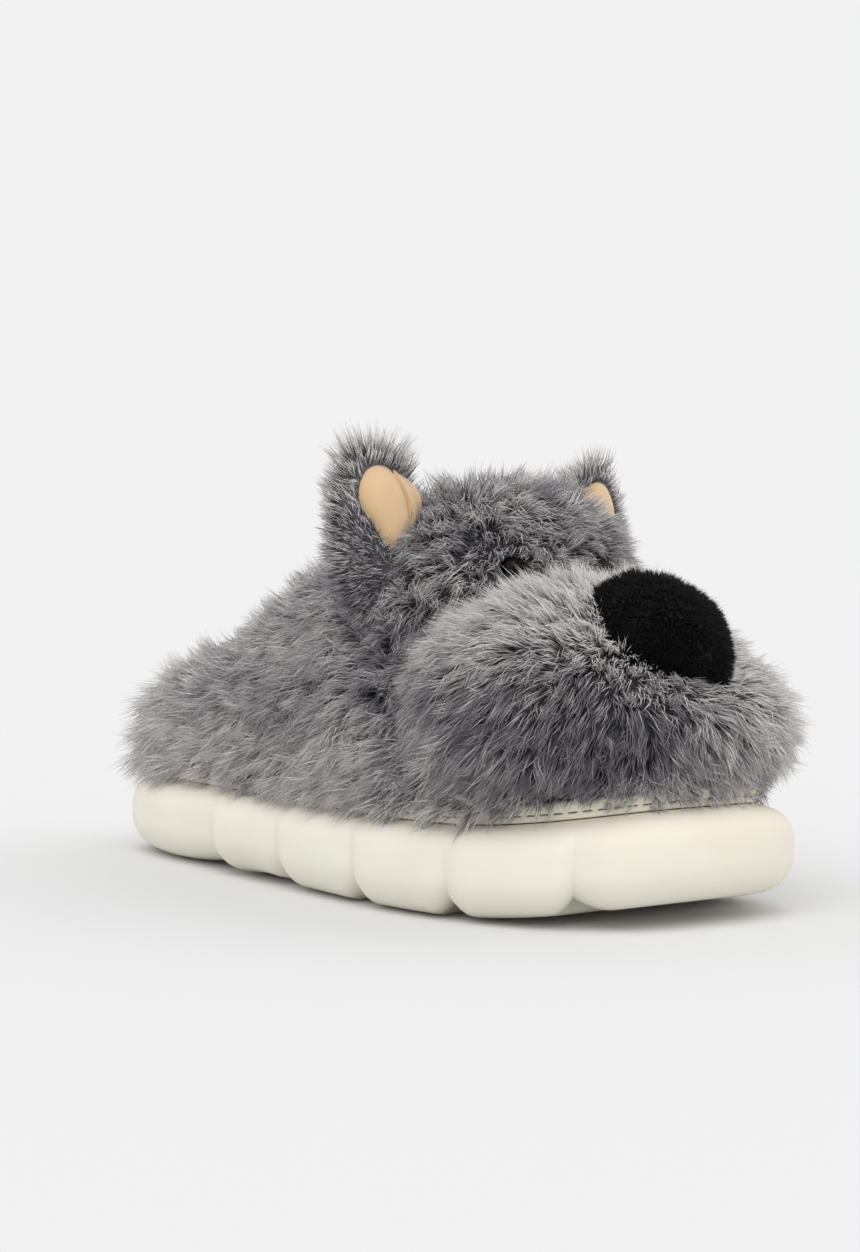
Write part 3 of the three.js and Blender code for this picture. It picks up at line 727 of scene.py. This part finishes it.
# Insole: a soft pad with a rolled edge
insole = {"play": 0.7, "top": 27.4, "crown": 0.9, "edge": 2.4, "low": 23.2, "edgeRings": 7, "strips": 14}


def insoleMesh():
    section = [(0, insole["low"])]
    for a in np.linspace(0, math.pi / 2, insole["edgeRings"]):
        inset, drop = (insole["edge"] * (1 - part) for part in (math.cos(a), math.sin(a)))
        section.append((-inset, insole["top"] - drop))
    rings = [rimRing(outset - insole["play"], z + 0 * rimAlong) for outset, z in section]

    def crowned(i, side, level):
        return insole["top"] + insole["crown"] * (1 - side**2)

    return cappedMesh("insole_pad", rings, (2, flat), (insole["strips"], crowned))


footbedFleece = fleeceFinish("footbedFleece", "#6d6c71", "#b4b2b5")
insolePad = newPiece("insole_pad", insoleMesh(), footbedFleece)
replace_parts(insolePad, "insole")

# Upper: backing cloth outside, fleece inside, softened at the collar
upper = {
    "collarWidth": 60, "collarLength": 132, "collarMiddle": 53, "collarLow": 60, "collarHigh": 135,
    "collarSteps": 96, "liningLap": 1, "voxel": 2.1, "soften": 5, "softness": 0.5,
}


def fromCollar(points, margin=0):  # a place over the opening, 1 from its middle on the collar's edge
    offsets = (points - (0, upper["collarMiddle"], 0))[:, :2]
    return offsets / (np.array((upper["collarWidth"], upper["collarLength"])) / 2 + margin)


def collarMesh():
    steps = upper["collarSteps"]
    angle = np.linspace(0, 2 * math.pi, steps, endpoint=False)
    x = np.cos(angle) * upper["collarWidth"] / 2
    y = upper["collarMiddle"] + np.sin(angle) * upper["collarLength"] / 2
    rings = np.concatenate([stacked(x, y, float(upper[level])) for level in ("collarLow", "collarHigh")])
    faces = gridFaces(2, steps) + [tuple(range(steps))[::-1], tuple(range(steps, 2 * steps))]
    return outwardMesh(meshFrom("collar_form", rings, faces))


def upperMesh():
    outer = closedMesh("outer", lastPoint, nets["outer"], last["wall"] - last["gap"])
    inner = closedMesh("inner", lastPoint, nets["inner"], 0)
    shell = cutAway(outer, inner, collarMesh(), soleMesh(last["gap"]), randMesh(last["gap"]))
    return reworked(shell, [
        ("REMESH", {"mode": "VOXEL", "voxel_size": upper["voxel"] * mm}),
        ("SMOOTH", {"factor": upper["softness"], "iterations": upper["soften"]}),
    ])


upperSkin = upperMesh()
upperSkin.polygons.foreach_set("use_smooth", [True] * len(upperSkin.polygons))
upperPiece = newPiece("upper_shell", upperSkin, [
    backingFinish("quarterBacking", "#47464c", "#6b6a70"),
    fleeceFinish("liningFleece", "#77767b", "#bdbbbd"),
])
centres = np.empty(len(upperSkin.polygons) * 3)
upperSkin.polygons.foreach_get("center", centres)
spots = centres.reshape(-1, 3) / mm - origin
inside = upperDepth(spots, last["wall"] / 2) < 1
inside |= np.hypot(*fromCollar(spots, upper["liningLap"]).T) < 1
upperSkin.polygons.foreach_set("material_index", inside.astype(np.int32))
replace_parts(upperPiece, "upper")
print("upper made", len(upperSkin.polygons))

# Stuffed head, each pad cut back from what it is sewn to
carrier = closedMesh("carrier", lastPoint, nets["carrier"], last["wall"] + last["gap"])
muzzleCut = closedMesh("muzzle_cut", muzzlePoint, nets["muzzle"], last["gap"])
browCut = closedMesh("brow_cut", browPoint, nets["browCut"], last["gap"])

muzzleSkin = cutAway(closedMesh("muzzle_form", muzzlePoint, nets["muzzle"], 0), carrier)
muzzleBacking = backingFinish("muzzleBacking", "#3d3c42", "#66656b")
muzzlePiece = newPiece("muzzle_pad", muzzleSkin, muzzleBacking)
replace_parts(muzzlePiece, "muzzle")
browSkin = cutAway(closedMesh("brow_form", browPoint, nets["brow"], 0), carrier, muzzleCut)
browBacking = backingFinish("foreheadBacking", "#38373d", "#58575e")
browPiece = newPiece("forehead_pad", browSkin, browBacking)
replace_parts(browPiece, "forehead")
print("muzzle and forehead made")

sides = {"right": -1, "left": 1}


def liningMesh(side):  # lies on the ear's face; the part towards the head is folded over the rest
    face, inward, tip = earAxes(side)
    rounds = lining["rounds"]
    around = np.linspace(0, 2 * math.pi, rounds, endpoint=False)
    reach = around360(lining, around)
    fold = ear["fold"][side]
    shares = [(share, True) for share in np.sin(np.linspace(0.02, math.pi / 2, lining["frontRings"]))]
    shares += [(share, False) for share in np.linspace(0.97, 0.05, lining["backRings"])]
    rings = []
    for share, front in shares:
        u, v = np.cos(around) * reach * share, np.sin(around) * reach * share
        across, up = u + lining["inward"], v + lining["rise"]
        bed = 1 - (across / (ear["width"] / 2 + 1)) ** 2 - (up / (ear["length"] / 2 + 1)) ** 2
        height = ear["thickness"] / 2 * np.sqrt(np.maximum(bed, lining["leastBed"])) - lining["sunk"]
        full = 1 - share**4
        if front:
            past = u - lining["foldPlace"] + lining["foldBow"] * (v + lining["foldFrom"]) ** 2
            start = past + lining["foldStart"]
            fade = np.exp(-np.maximum(past, 0) / lining["foldRun"])
            height += full * lining["thickness"] * lining["frontShare"]
            height -= fold * full * lining["foldDepth"] * near(start, lining["foldWidth"])
            height += fold * full * lining["foldLap"] * np.clip(start, 0, 1) * fade
        else:
            height -= full * lining["thickness"] * lining["backShare"]
        rings.append(earMiddle(side) + across[:, None] * inward + up[:, None] * tip + height[:, None] * face)
    points, faces = list(np.concatenate(rings)), gridFaces(len(rings), rounds)
    for ring in (0, len(rings) - 1):
        points.append(rings[ring].mean(axis=0))
        first = ring * rounds
        faces += [(len(points) - 1, first + k, first + (k + 1) % rounds) for k in range(rounds)]
    return outwardMesh(meshFrom("lining", points, faces))


velour = velourFinish()
earBacking = backingFinish("earBacking", "#4a484e", "#716f75")
for sideName, side in sides.items():
    core = closedMesh("ear_form", earPoint, nets["ear"], 0, side)
    piece = newPiece(f"ear_pad_{sideName}", cutAway(core, carrier, browCut), earBacking)
    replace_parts(piece, f"ear_{sideName}")
    velourPiece = newPiece(f"ear_velour_{sideName}", liningMesh(side), velour)
    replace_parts(velourPiece, f"ear_lining_{sideName}")

noseSkin = cutAway(closedMesh("nose_form", nosePoint, nets["nose"], 0), muzzleCut)
nosePiece = newPiece("nose_pad", noseSkin, backingFinish("noseBacking", "#060607", "#121214"))
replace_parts(nosePiece, "nose")


def eyeMiddle(side):
    power = head["browSquareness"]
    aside, up = 2 * eye["spread"] / head["browWidth"], eye["rise"] / head["browHeight"]
    forward = (1 - aside**power - up**power) ** (1 / power) * head["browDepth"] / 2
    y = eye["sunk"] - head["browPlace"] - forward
    return np.array((side * eye["spread"], y, head["browLevel"] + eye["rise"]))


def eyeMesh(side):  # a domed bead with a thin rim and a shank behind it, turned on its own axis
    middle = eyeMiddle(side)
    out = unit(np.array(eye["look"]) * (side, 1, 1))
    one = unit(np.cross(out, (0, 0, 1)))
    two = np.cross(out, one)
    radius, rounds = eye["diameter"] / 2, eye["rounds"]
    bend = np.linspace(0.08, math.pi / 2, eye["domeRings"])
    profile = [(radius * math.sin(a), radius * eye["bulge"] * math.cos(a)) for a in bend]
    profile += [(radius * share, level) for share, level in eye["shank"]] + [eye["tip"]]
    angle = np.linspace(0, 2 * math.pi, rounds, endpoint=False)
    circle = np.cos(angle)[:, None] * one + np.sin(angle)[:, None] * two
    rings = [middle + out * h + r * circle for r, h in profile]
    end = (len(rings) - 1) * rounds
    faces = gridFaces(len(rings), rounds) + [tuple(range(rounds))[::-1], tuple(range(end, end + rounds))]
    return outwardMesh(meshFrom("eye", np.concatenate(rings), faces))


bead = beadFinish()
for sideName, side in sides.items():
    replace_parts(newPiece(f"eye_bead_{sideName}", eyeMesh(side), bead), f"eye_{sideName}")
print("ears, nose and eyes made")

# Fur: every strand is a small closed cone, about half of them with a bend, gathered into locks
fur = {
    "classes": 64, "seed": 7, "density": 2.15, "lengths": (0.72, 1.15), "widths": (0.7, 1.3),
    "gathers": (0.3, 1), "rootStray": 0.4, "bendGather": 0.35, "bendWidth": 0.36, "rooted": 0.4,
    "paling": 0.6, "waves": 7,
    # the map gives each tone a column and each place along a strand a row
    "column": (0.15, 0.7), "row": (0.02, 0.96), "rootRows": (0, 0.004, 0.008),
}
shades = {
    "grey": {"dark": ("#2e2b33", "#77747d"), "light": ("#8c8788", "#f6f2f0")},
    "black": {"dark": ("#020202", "#060607"), "light": ("#050506", "#171719")},
}
rng = np.random.default_rng(fur["seed"])


def waves(points, wavelength):  # a smooth random field, about -1 to 1
    total = np.zeros(len(points))
    for _ in range(fur["waves"]):
        way = unit(rng.normal(size=3)) / wavelength * rng.uniform(0.7, 1.4)
        total += np.sin(points @ way * 2 * math.pi + rng.uniform(0, 2 * math.pi))
    return total / math.sqrt(fur["waves"])


def scattered(place, count, stations=180, rounds=200):  # points spread evenly over a form, with its normals
    turn = np.linspace(0.004, math.pi - 0.004, stations)[:, None]
    around = np.linspace(0, 2 * math.pi, rounds)[None, :]
    net = place(turn, around)
    tangentA, tangentB = np.gradient(net, axis=0), np.gradient(net, axis=1)
    normals = unit(np.cross(tangentA, tangentB))
    corner = net[:-1, :-1]
    area = np.linalg.norm(np.cross(net[1:, :-1] - corner, net[:-1, 1:] - corner), axis=-1)
    chosen = rng.choice(area.size, count, p=area.ravel() / area.sum())
    j, i = np.unravel_index(chosen, area.shape)
    s, t = rng.random((2, count, 1))

    def between(grid):
        one = grid[j, i] * (1 - s) + grid[j + 1, i] * s
        other = grid[j, i + 1] * (1 - s) + grid[j + 1, i + 1] * s
        return one * (1 - t) + other * t

    points, outward = between(net), unit(between(normals))
    middle = net.reshape(-1, 3).mean(axis=0)
    if np.mean(np.sum(outward * (points - middle), axis=1)) < 0:
        outward = -outward
    return points, outward, float(area.sum())


def painted(shade, tone, along):  # the colour of a strand class at a place along it
    dark, light = ([np.array(colour(c)[:3]) for c in shades[shade][k]] for k in ("dark", "light"))
    tone, along = tone[..., None], along[..., None] ** fur["paling"]
    root, tip = dark[0] + (light[0] - dark[0]) * tone, dark[1] + (light[1] - dark[1]) * tone
    return root + (tip - root) * along


def strandKind(rings):  # a three-sided strand: its faces, its corners' places on the map and along it
    faces, across = [[0, 2, 1]], [0.4, 0.6, 0.5]
    for ring in range(rings):
        for k in range(3):
            start, stop = 3 * ring + k, 3 * ring + (k + 1) % 3
            if ring < rings - 1:
                faces.append([start, stop, stop + 3, start + 3])
                across += [k / 3, (k + 1) / 3, (k + 1) / 3, k / 3]
            else:
                faces.append([start, stop, 3 * rings])
                across += [k / 3, (k + 1) / 3, (k + 0.5) / 3]
    share = [ring / rings for ring in range(rings) for k in range(3)] + [1]
    return {"faces": faces, "across": np.array(across), "share": np.array(share)}


bent, straight = strandKind(2), strandKind(1)


def gathered(points, locks, nearest):  # the middle of each strand's lock
    sums = np.zeros((len(locks), 3))
    np.add.at(sums, nearest, points)
    return (sums / np.maximum(np.bincount(nearest, minlength=len(locks)), 1)[:, None])[nearest]


def fill(target, key, values, kind=np.float32):
    target.foreach_set(key, np.asarray(values).astype(kind).ravel())


def strandMesh(name, groups, shade):  # groups: (kind, corners, tone)
    corners = np.concatenate([points.reshape(-1, 3) for kind, points, tone in groups])
    parts, base = [], 0
    for kind, points, tone in groups:
        count, each = points.shape[:2]
        pattern = np.concatenate(kind["faces"])
        column = np.round(tone * (fur["classes"] - 1))[:, None]
        column = (column + fur["column"][0] + fur["column"][1] * kind["across"]) / fur["classes"]
        row = fur["row"][0] + fur["row"][1] * kind["share"][pattern]
        row[:3] += fur["rootRows"]
        parts.append((
            (base + np.arange(count)[:, None] * each + pattern).ravel(),
            np.tile([len(face) for face in kind["faces"]], count),
            np.repeat(tone, each), np.tile(kind["share"], count), column.ravel(), np.tile(row, count)))
        base += count * each
    loops, sizes, tones, alongs, columns, rows = (np.concatenate(part) for part in zip(*parts))
    mesh = bpy.data.meshes.new(name)
    mesh.vertices.add(len(corners))
    mesh.loops.add(len(loops))
    mesh.polygons.add(len(sizes))
    fill(mesh.vertices, "co", (corners + origin) * mm)
    fill(mesh.loops, "vertex_index", loops, np.int32)
    fill(mesh.polygons, "loop_start", np.concatenate(([0], np.cumsum(sizes)[:-1])), np.int32)
    fill(mesh.polygons, "use_smooth", np.ones(len(sizes)), bool)
    mesh.update(calc_edges=True)
    fill(mesh.uv_layers.new(name="OFBake").uv, "vector", np.stack((columns, rows), -1))
    colours = np.ones((len(corners), 4))
    colours[:, :3] = painted(shade, tones, alongs)
    fill(mesh.color_attributes.new("pileColour", "FLOAT_COLOR", "POINT").data, "color", colours)
    fill(mesh.attributes.new("pileAlong", "FLOAT", "POINT").data, "value", alongs)
    return mesh


def furMesh(name, roots, outward, flow, length, tone, look):
    count = len(roots)
    locks = roots[rng.choice(count, max(count // look["perLock"], 1), replace=False)]
    tree = KDTree(len(locks))
    for i, point in enumerate(locks):
        tree.insert(point, i)
    tree.balance()
    nearest = np.array([tree.find(point)[1] for point in roots])
    lockTurn = rng.normal(size=(len(locks), 3)) * look["lockStray"]
    lockLength = rng.uniform(1 - look["lockUneven"], 1 + look["lockUneven"], len(locks))
    lockTone = rng.normal(size=len(locks)) * look["lockTone"]
    length = length * lockLength[nearest] * rng.uniform(*fur["lengths"], count)
    half = (length * 0.5)[:, None]
    stray = rng.normal(size=(count, 3)) * look["stray"]
    lean = outward + flow * look["lean"] + lockTurn[nearest] * fur["rootStray"] + stray * fur["rootStray"]
    middle = roots + unit(lean) * half
    tips = middle + unit(outward * look["lift"] + flow + lockTurn[nearest] + stray) * half
    gather = (rng.uniform(*fur["gathers"], count) * look["gather"])[:, None]
    tips += (gathered(tips, locks, nearest) - tips) * gather
    middle += (gathered(middle, locks, nearest) - middle) * gather * fur["bendGather"]
    tone = np.clip(tone + lockTone[nearest] + rng.normal(size=count) * look["strandTone"], 0, 1)
    tone = np.round(tone * (fur["classes"] - 1)) / (fur["classes"] - 1)
    along = unit(tips - roots)
    side = unit(np.cross(along, rng.normal(size=(count, 3))))
    other = np.cross(along, side)
    width = look["width"] * rng.uniform(*fur["widths"], count)
    points = np.empty((count, 7, 3))
    for k in range(3):
        angle = 2 * math.pi * k / 3
        ring = math.cos(angle) * side + math.sin(angle) * other
        points[:, k] = roots - outward * fur["rooted"] + ring * (width / 2)[:, None]
        points[:, 3 + k] = middle + ring * (width * fur["bendWidth"])[:, None]
    points[:, 6] = tips
    bends = rng.random(count) < look["bentShare"]
    groups = [(bent, points[bends], tone[bends]), (straight, points[~bends][:, [0, 1, 2, 6]], tone[~bends])]
    return strandMesh(name, groups, look["shade"])


def growFur(zones, strands, look, finish):  # a piece a zone, from roots, outward, flow, length, tone
    for zone, mask in zones.items():
        name = f"fur_{zone}"
        print(name, "strands", np.count_nonzero(mask))
        newPiece(name, furMesh(name, *(column[mask] for column in strands), look), finish)


def alongSkin(flow, outward):  # the part of a direction that lies in the skin
    return unit(flow - outward * np.sum(flow * outward, axis=1, keepdims=True))


def sown(place, perArea, most, *net):  # roots over a form at a given number a square millimetre
    roots, outward, area = scattered(place, most, *net)
    keep = rng.random(most) < perArea * area / most
    return roots[keep], outward[keep]


def everywhere(roots):
    return np.ones(len(roots), bool)


def shadeBelowEar(roots, amount, place):  # painted shade in the hollow below the right ear
    x, y, z = roots.T
    return amount * near(y + place, 8) * (x < -30) * eased(z, 50, 68)


longPile = {
    "shade": "grey", "perLock": 15, "lockStray": 0.5, "lockUneven": 0.24, "lockTone": 0.14, "stray": 0.4,
    "lean": 0.35, "lift": 0.85, "gather": 0.58, "strandTone": 0.24, "width": 0.44, "bentShare": 0.5,
}
furFinish = pileFinish("greyPile", 0.75, 0.15)

# Quarters and heel: combed back and down, drooping over the rand everywhere but round the toe
quarter = {  # pairs are where a zone begins and ends
    "length": 12.5, "backMore": 5.5, "footMore": 2.5, "uneven": 0.8, "edgeLess": 2.5, "backEdgeLess": 4,
    "toplineLess": 3, "heelFrom": 62, "foot": (32, 60), "back": (50, 122), "toe": (-124, -100),
    "toeFoot": (31, 45), "topline": (62, 84), "edge": (1.02, 1.3), "creaseRise": (45, 70), "crease": 0.13,
    "roof": (72, 95), "toeLevel": 36, "toePlace": -98, "overlap": 0.97, "randLap": 0.5,
}
roots, outward = sown(lambda t, a: lastPoint(t, a, last["wall"]), fur["density"], 250000)
ring = np.hypot(*fromCollar(roots).T)
keep = (ring > 0.99) & (roots[:, 2] > rand["foot"] + rand["height"] - quarter["randLap"])
keep &= (muzzleDepth(roots) > quarter["overlap"]) & (browDepth(roots) > quarter["overlap"])
keep &= (roots[:, 2] > quarter["toeLevel"]) | (roots[:, 1] > quarter["toePlace"])
roots, outward, ring = roots[keep], outward[keep], ring[keep]
x, y, z = roots.T
atEdge = 1 - eased(ring, *quarter["edge"])
low = 1 - eased(z, *quarter["foot"])
back = eased(y, *quarter["back"])
toe = 1 - eased(y, *quarter["toe"])
flow = stacked(0.2 * np.sign(x) * (1 - back), 0.35 + 0.35 * waves(roots, 34), -0.75 - 0.3 * low + 0.3 * back)
flow += atEdge[:, None] * stacked(-x / 50, 0.3, 1.3 * (1 - back))
flow = alongSkin(flow, outward)
length = quarter["length"] + quarter["backMore"] * back + quarter["footMore"] * low * (1 - toe)
length += quarter["uneven"] * waves(roots, 25)
length -= (quarter["edgeLess"] + quarter["backEdgeLess"] * back) * atEdge
length -= quarter["toplineLess"] * back * eased(z, *quarter["topline"])
length *= 1 - 0.6 * toe * (1 - eased(z, *quarter["toeFoot"]))
crease = near(np.minimum(muzzleDepth(roots), browDepth(roots)) - 1, quarter["crease"])
crease *= 0.4 + 0.6 * eased(z, *quarter["creaseRise"])
length *= 1 - 0.58 * crease
# Darker in the creases next to the muzzle and forehead, and below the right ear: painted shade
tone = 0.62 + 0.12 * waves(roots, 30) + 0.08 * waves(roots, 12) + 0.18 * low + 0.32 * back
tone -= 0.5 * crease + 0.08 * eased(z, *quarter["roof"]) + shadeBelowEar(roots, 0.3, 44)
heel = y > quarter["heelFrom"]
zones = {"heel": heel, "quarter_right": ~heel & (x < 0), "quarter_left": ~heel & (x >= 0)}
growFur(zones, (roots, outward, flow, length, tone), longPile, furFinish)

# A fringe that curls over the collar's edge
fringe = {"density": 3.2, "reach": 1.06, "above": 50, "length": 7.5, "uneven": 0.8}
roots, outward = sown(lambda t, a: lastPoint(t, a, last["wall"]), fringe["density"], 250000)
across = fromCollar(roots)
ring = np.hypot(*across.T)
keep = (ring > 1) & (ring < fringe["reach"]) & (roots[:, 2] > fringe["above"])
keep &= browDepth(roots) > quarter["overlap"]
roots, outward, across = roots[keep], outward[keep], across[keep]
flow = unit(stacked(-across[:, 0], -across[:, 1], 0.35))
tone = 0.58 + 0.15 * waves(roots, 14)
length = fringe["length"] + fringe["uneven"] * waves(roots, 12)
growFur({"collar": everywhere(roots)}, (roots, outward, flow, length, tone),
        dict(longPile, lean=0.7, lift=0.25), furFinish)

# Muzzle: pale on top, dark patches low on its sides, short and pale on the inner cheek
muzzlePile = dict(longPile, lean=0.8, lift=0.55, stray=0.32, lockStray=0.36)
muzzle = {  # pairs are where a zone begins and ends
    "length": 12, "footMore": 4, "uneven": 1.0, "cheekLess": 3.2, "topFrom": 78, "top": (68, 88),
    "foot": (36, 62), "front": (92, 112), "frontFoot": (34, 50), "medial": (4, 26), "cheek": (58, 76),
    "paleCheek": (38, 52), "lowest": 33, "noseHole": 0.9, "noseFoot": 56, "browCrease": 0.1,
    "upperCrease": 0.05,
    "patches": [  # the middle, the radii and the strength of each dark patch
        ((-30, -118, 51), (24, 26, 14), 1),
        ((-52, -92, 62), (12, 16, 10), 0.5),
        ((18, -128, 42), (14, 12, 8), 0.6),
    ],
}
roots, outward = sown(lambda t, a: muzzlePoint(t, a, 0), fur["density"], 150000)
noseMiddle = np.array((0, -nose["place"], nose["level"]))
noseAxes = np.array(((1, 0, 0), (0, math.sin(nose["slope"]), math.cos(nose["slope"]))))
fromNose = (roots - noseMiddle) @ noseAxes.T
noseAngle = np.arctan2(fromNose[:, 1], fromNose[:, 0])
noseRing = np.linalg.norm(fromNose, axis=1) / around360(noseOutline, noseAngle)
keep = (upperDepth(roots, last["wall"]) > 1) & (roots[:, 2] > muzzle["lowest"]) & (browDepth(roots) > 1)
keep &= (noseRing > muzzle["noseHole"]) | (roots[:, 2] < muzzle["noseFoot"])
roots, outward, noseRing = roots[keep], outward[keep], noseRing[keep]
x, y, z = roots.T
top = eased(z, *muzzle["top"])
low = 1 - eased(z, *muzzle["foot"])
front = eased(-y, *muzzle["front"])
medial = eased(x, *muzzle["medial"])
flow = unit(roots - noseMiddle) + stacked(0, 0.25 * waves(roots, 30), -0.45 * (1 - top))
flow = alongSkin(flow, outward)
length = muzzle["length"] + muzzle["footMore"] * low * (1 - front) + muzzle["uneven"] * waves(roots, 22)
length -= muzzle["cheekLess"] * medial * eased(z, *muzzle["cheek"])
shortAtNose = 1 - 0.25 * near(noseRing - 1, 0.3) * (z > muzzle["noseFoot"])
length *= shortAtNose * (1 - 0.68 * (1 - eased(z, *muzzle["frontFoot"])) * front)
crease = near(browDepth(roots) - 1, muzzle["browCrease"])
crease += near(upperDepth(roots, last["wall"]) - 1, muzzle["upperCrease"])
darkPatch = sum(strength * near(np.linalg.norm((roots - middle) / radii, axis=1), 1)
                for middle, radii, strength in muzzle["patches"])
tone = 0.58 + 0.46 * top + 0.1 * waves(roots, 22) + 0.07 * waves(roots, 11) - 0.68 * darkPatch
# Darker in the creases at the forehead and the quarter, and below the right ear: painted shade
tone += (0.75 * medial * eased(z, *muzzle["paleCheek"]) - 0.3 * np.clip(crease, 0, 1)
         + 0.14 * low * (1 - darkPatch))
tone += 0.16 * near(noseRing - 1.15, 0.35) - shadeBelowEar(roots, 0.25, 50)
crown = z > muzzle["topFrom"]
zones = {"muzzle_top": crown, "muzzle_right": ~crown & (x < 0), "muzzle_left": ~crown & (x >= 0)}
growFur(zones, (roots, outward, flow, length, tone), muzzlePile, furFinish)

# Forehead: darker, short round the eyes
brow = {"length": 10.5, "uneven": 1.0, "lowest": 72, "eyeHole": 0.6, "eyeReach": 10, "crease": 0.1,
        "slackBelow": 95, "front": (52, 70), "paleBelow": 105}
roots, outward = sown(lambda t, a: browPoint(t, a, 0), fur["density"], 60000)
keep = (upperDepth(roots, last["wall"]) > 0.99) & (muzzleDepth(roots) > 1) & (roots[:, 2] > brow["lowest"])
for side in sides.values():
    keep &= np.linalg.norm(roots - eyeMiddle(side), axis=1) > eye["diameter"] * brow["eyeHole"]
roots, outward = roots[keep], outward[keep]
x, y, z = roots.T
slack = -0.3 + 0.35 * waves(roots, 26)
flow = stacked(x / head["browWidth"], slack, 0.2 * waves(roots, 20) - 0.2 - 0.3 * (z < brow["slackBelow"]))
flow = alongSkin(flow, outward)
length = brow["length"] + brow["uneven"] * waves(roots, 20)
nearEye = sum(near(np.linalg.norm(roots - eyeMiddle(side), axis=1), brow["eyeReach"])
              for side in sides.values())
length *= 1 - 0.55 * np.clip(nearEye, 0, 1)
crease = near(muzzleDepth(roots) - 1, brow["crease"])
# Darker in the crease next to the muzzle: painted shade
tone = 0.53 + 0.15 * waves(roots, 18) + 0.07 * waves(roots, 9) - 0.25 * crease
tone += 0.14 * eased(-y, *brow["front"]) * (z < brow["paleBelow"])
growFur({"forehead": everywhere(roots)}, (roots, outward, flow, length, tone),
        longPile, furFinish)

# Ears: wispy fur round the rim and the back, pale at the tips
earPile = dict(longPile, perLock=12, lockStray=0.25, gather=0.4, width=0.38, lift=0.6, stray=0.26)
earFur = {  # pairs are where a zone begins and ends
    "density": 2.6, "length": 8.5, "outerLess": 2.2, "uneven": 0.8, "tuft": (5, 25), "outer": (4, 12),
    "foot": (-30, -12), "paleTip": (0, 27), "footShade": (-18, -4), "liningLap": 1.2, "liningFoot": -9,
    "combedFrom": 8, "faceFrom": 3,
}
for sideName, side in sides.items():
    face, inward, tip = earAxes(side)
    roots, outward = sown(lambda t, a: earPoint(t, a, 0, side), earFur["density"], 30000, 90, 100)
    seen = roots - earMiddle(side)
    u, v, w = seen @ inward, seen @ tip, seen @ face
    lu, lv = u - lining["inward"], v - lining["rise"]
    lined = np.hypot(lu, lv) < around360(lining, np.arctan2(lv, lu)) - earFur["liningLap"]
    lined &= (w > -1) & (lv > earFur["liningFoot"])
    keep = ~lined & (browDepth(roots) > 1) & (upperDepth(roots, last["wall"]) > 1)
    roots, outward, u, v, w = roots[keep], outward[keep], u[keep], v[keep], w[keep]
    sideways = u[:, None] * inward / (ear["width"] / 2)
    upwards = (v[:, None] + earFur["combedFrom"]) * tip / (ear["length"] / 2)
    flow = unit(unit(sideways + upwards) - 0.35 * face + 0.25 * tip)
    length = earFur["length"] + ear["tuft"][side] * eased(v, *earFur["tuft"])
    length -= earFur["outerLess"] * eased(-u, *earFur["outer"])
    length += earFur["uneven"] * waves(roots, 14)
    length *= np.where(w > earFur["faceFrom"], 0.62, 1)
    length *= 0.55 + 0.45 * eased(v, *earFur["foot"])
    tone = 0.5 + 0.1 * waves(roots, 14) + 0.3 * eased(v, *earFur["paleTip"])
    # Darker at the foot, where the ear meets the head: painted shade
    tone -= 0.25 * (1 - eased(v, *earFur["footShade"]))
    growFur({f"ear_{sideName}": everywhere(roots)}, (roots, outward, flow, length, tone),
            earPile, furFinish)

# Nose: short black pile
nosePile = dict(
    longPile, shade="black", perLock=8, lockStray=0.2, lockUneven=0.1, stray=0.25, lean=0.3, lift=1.4,
    gather=0.3, width=0.42, bentShare=0)
noseFur = {"density": 5.5, "length": 3.2, "uneven": 0.4, "fan": 26}
roots, outward = sown(lambda t, a: nosePoint(t, a, 0), noseFur["density"], 60000, 120, 140)
keep = muzzleDepth(roots) > 1
roots, outward = roots[keep], outward[keep]
flow = unit(stacked(roots[:, 0] / noseFur["fan"], 0.3, -0.6))
length = noseFur["length"] + noseFur["uneven"] * waves(roots, 10)
tone = 0.45 + 0.18 * waves(roots, 12)
growFur({"nose": everywhere(roots)}, (roots, outward, flow, length, tone),
        nosePile, pileFinish("blackPile", 0.9, 0.0))
print("fur grown")

# Camera at the photograph's viewpoint
view = {
    "from": (-516.6, -677.3, 109.0), "at": (-6.0, -12.0, 82.0), "focal": 76.0, "sensor": 36.0,
    "farthest": 20,
}
camera = placed("camera", bpy.data.cameras.new("camera"))
camera.location = (np.array(view["from"]) + origin) * mm
gaze = Vector((np.array(view["at"]) - np.array(view["from"])) * mm)
camera.rotation_euler = gaze.to_track_quat("-Z", "Y").to_euler()
camera.data.lens = view["focal"]
camera.data.sensor_width = view["sensor"]
camera.data.sensor_fit = "AUTO"
camera.data.clip_end = view["farthest"]
bpy.context.scene.camera = camera

# A wide pale floor that runs into an even backdrop; the sky does most of the lighting
studio = {"floorHalf": 14.0, "floorColour": "#dedede", "backdrop": 0.888}
bpy.context.scene.view_settings.view_transform = "Standard"
floorMesh = bpy.data.meshes.new("studio_floor")
half = studio["floorHalf"]
corners = [(-half, -half, 0), (half, -half, 0), (half, half, 0), (-half, half, 0)]
floorMesh.from_pydata(corners, [], [(0, 1, 2, 3)])
floorMesh.materials.append(Finish("studioFloor").surface(
    Base_Color=colour(studio["floorColour"]), Roughness=1.0, Specular_IOR_Level=0.0))
floor = placed("studio_floor", floorMesh)

world = bpy.data.worlds.new("studio")
bpy.context.scene.world = world
world.use_nodes = True
sky = world.node_tree.nodes["Background"]
sky.inputs["Color"].default_value = (1, 1, 1, 1)
sky.inputs["Strength"].default_value = studio["backdrop"]

lamps = {  # the way each shines, the spread of its disc in degrees, its strength
    "key": {"from": (-0.55, -0.45, 1.0), "spread": 50, "strength": 1.0},
    "fill": {"from": (0.7, -0.8, 0.8), "spread": 70, "strength": 0.35},
}
for name, lamp in lamps.items():
    light = bpy.data.lights.new(name, "SUN")
    light.energy = lamp["strength"]
    light.angle = math.radians(lamp["spread"])
    placed(name, light).rotation_euler = Vector(lamp["from"]).to_track_quat("Z", "Y").to_euler()

bpy.context.view_layer.update()
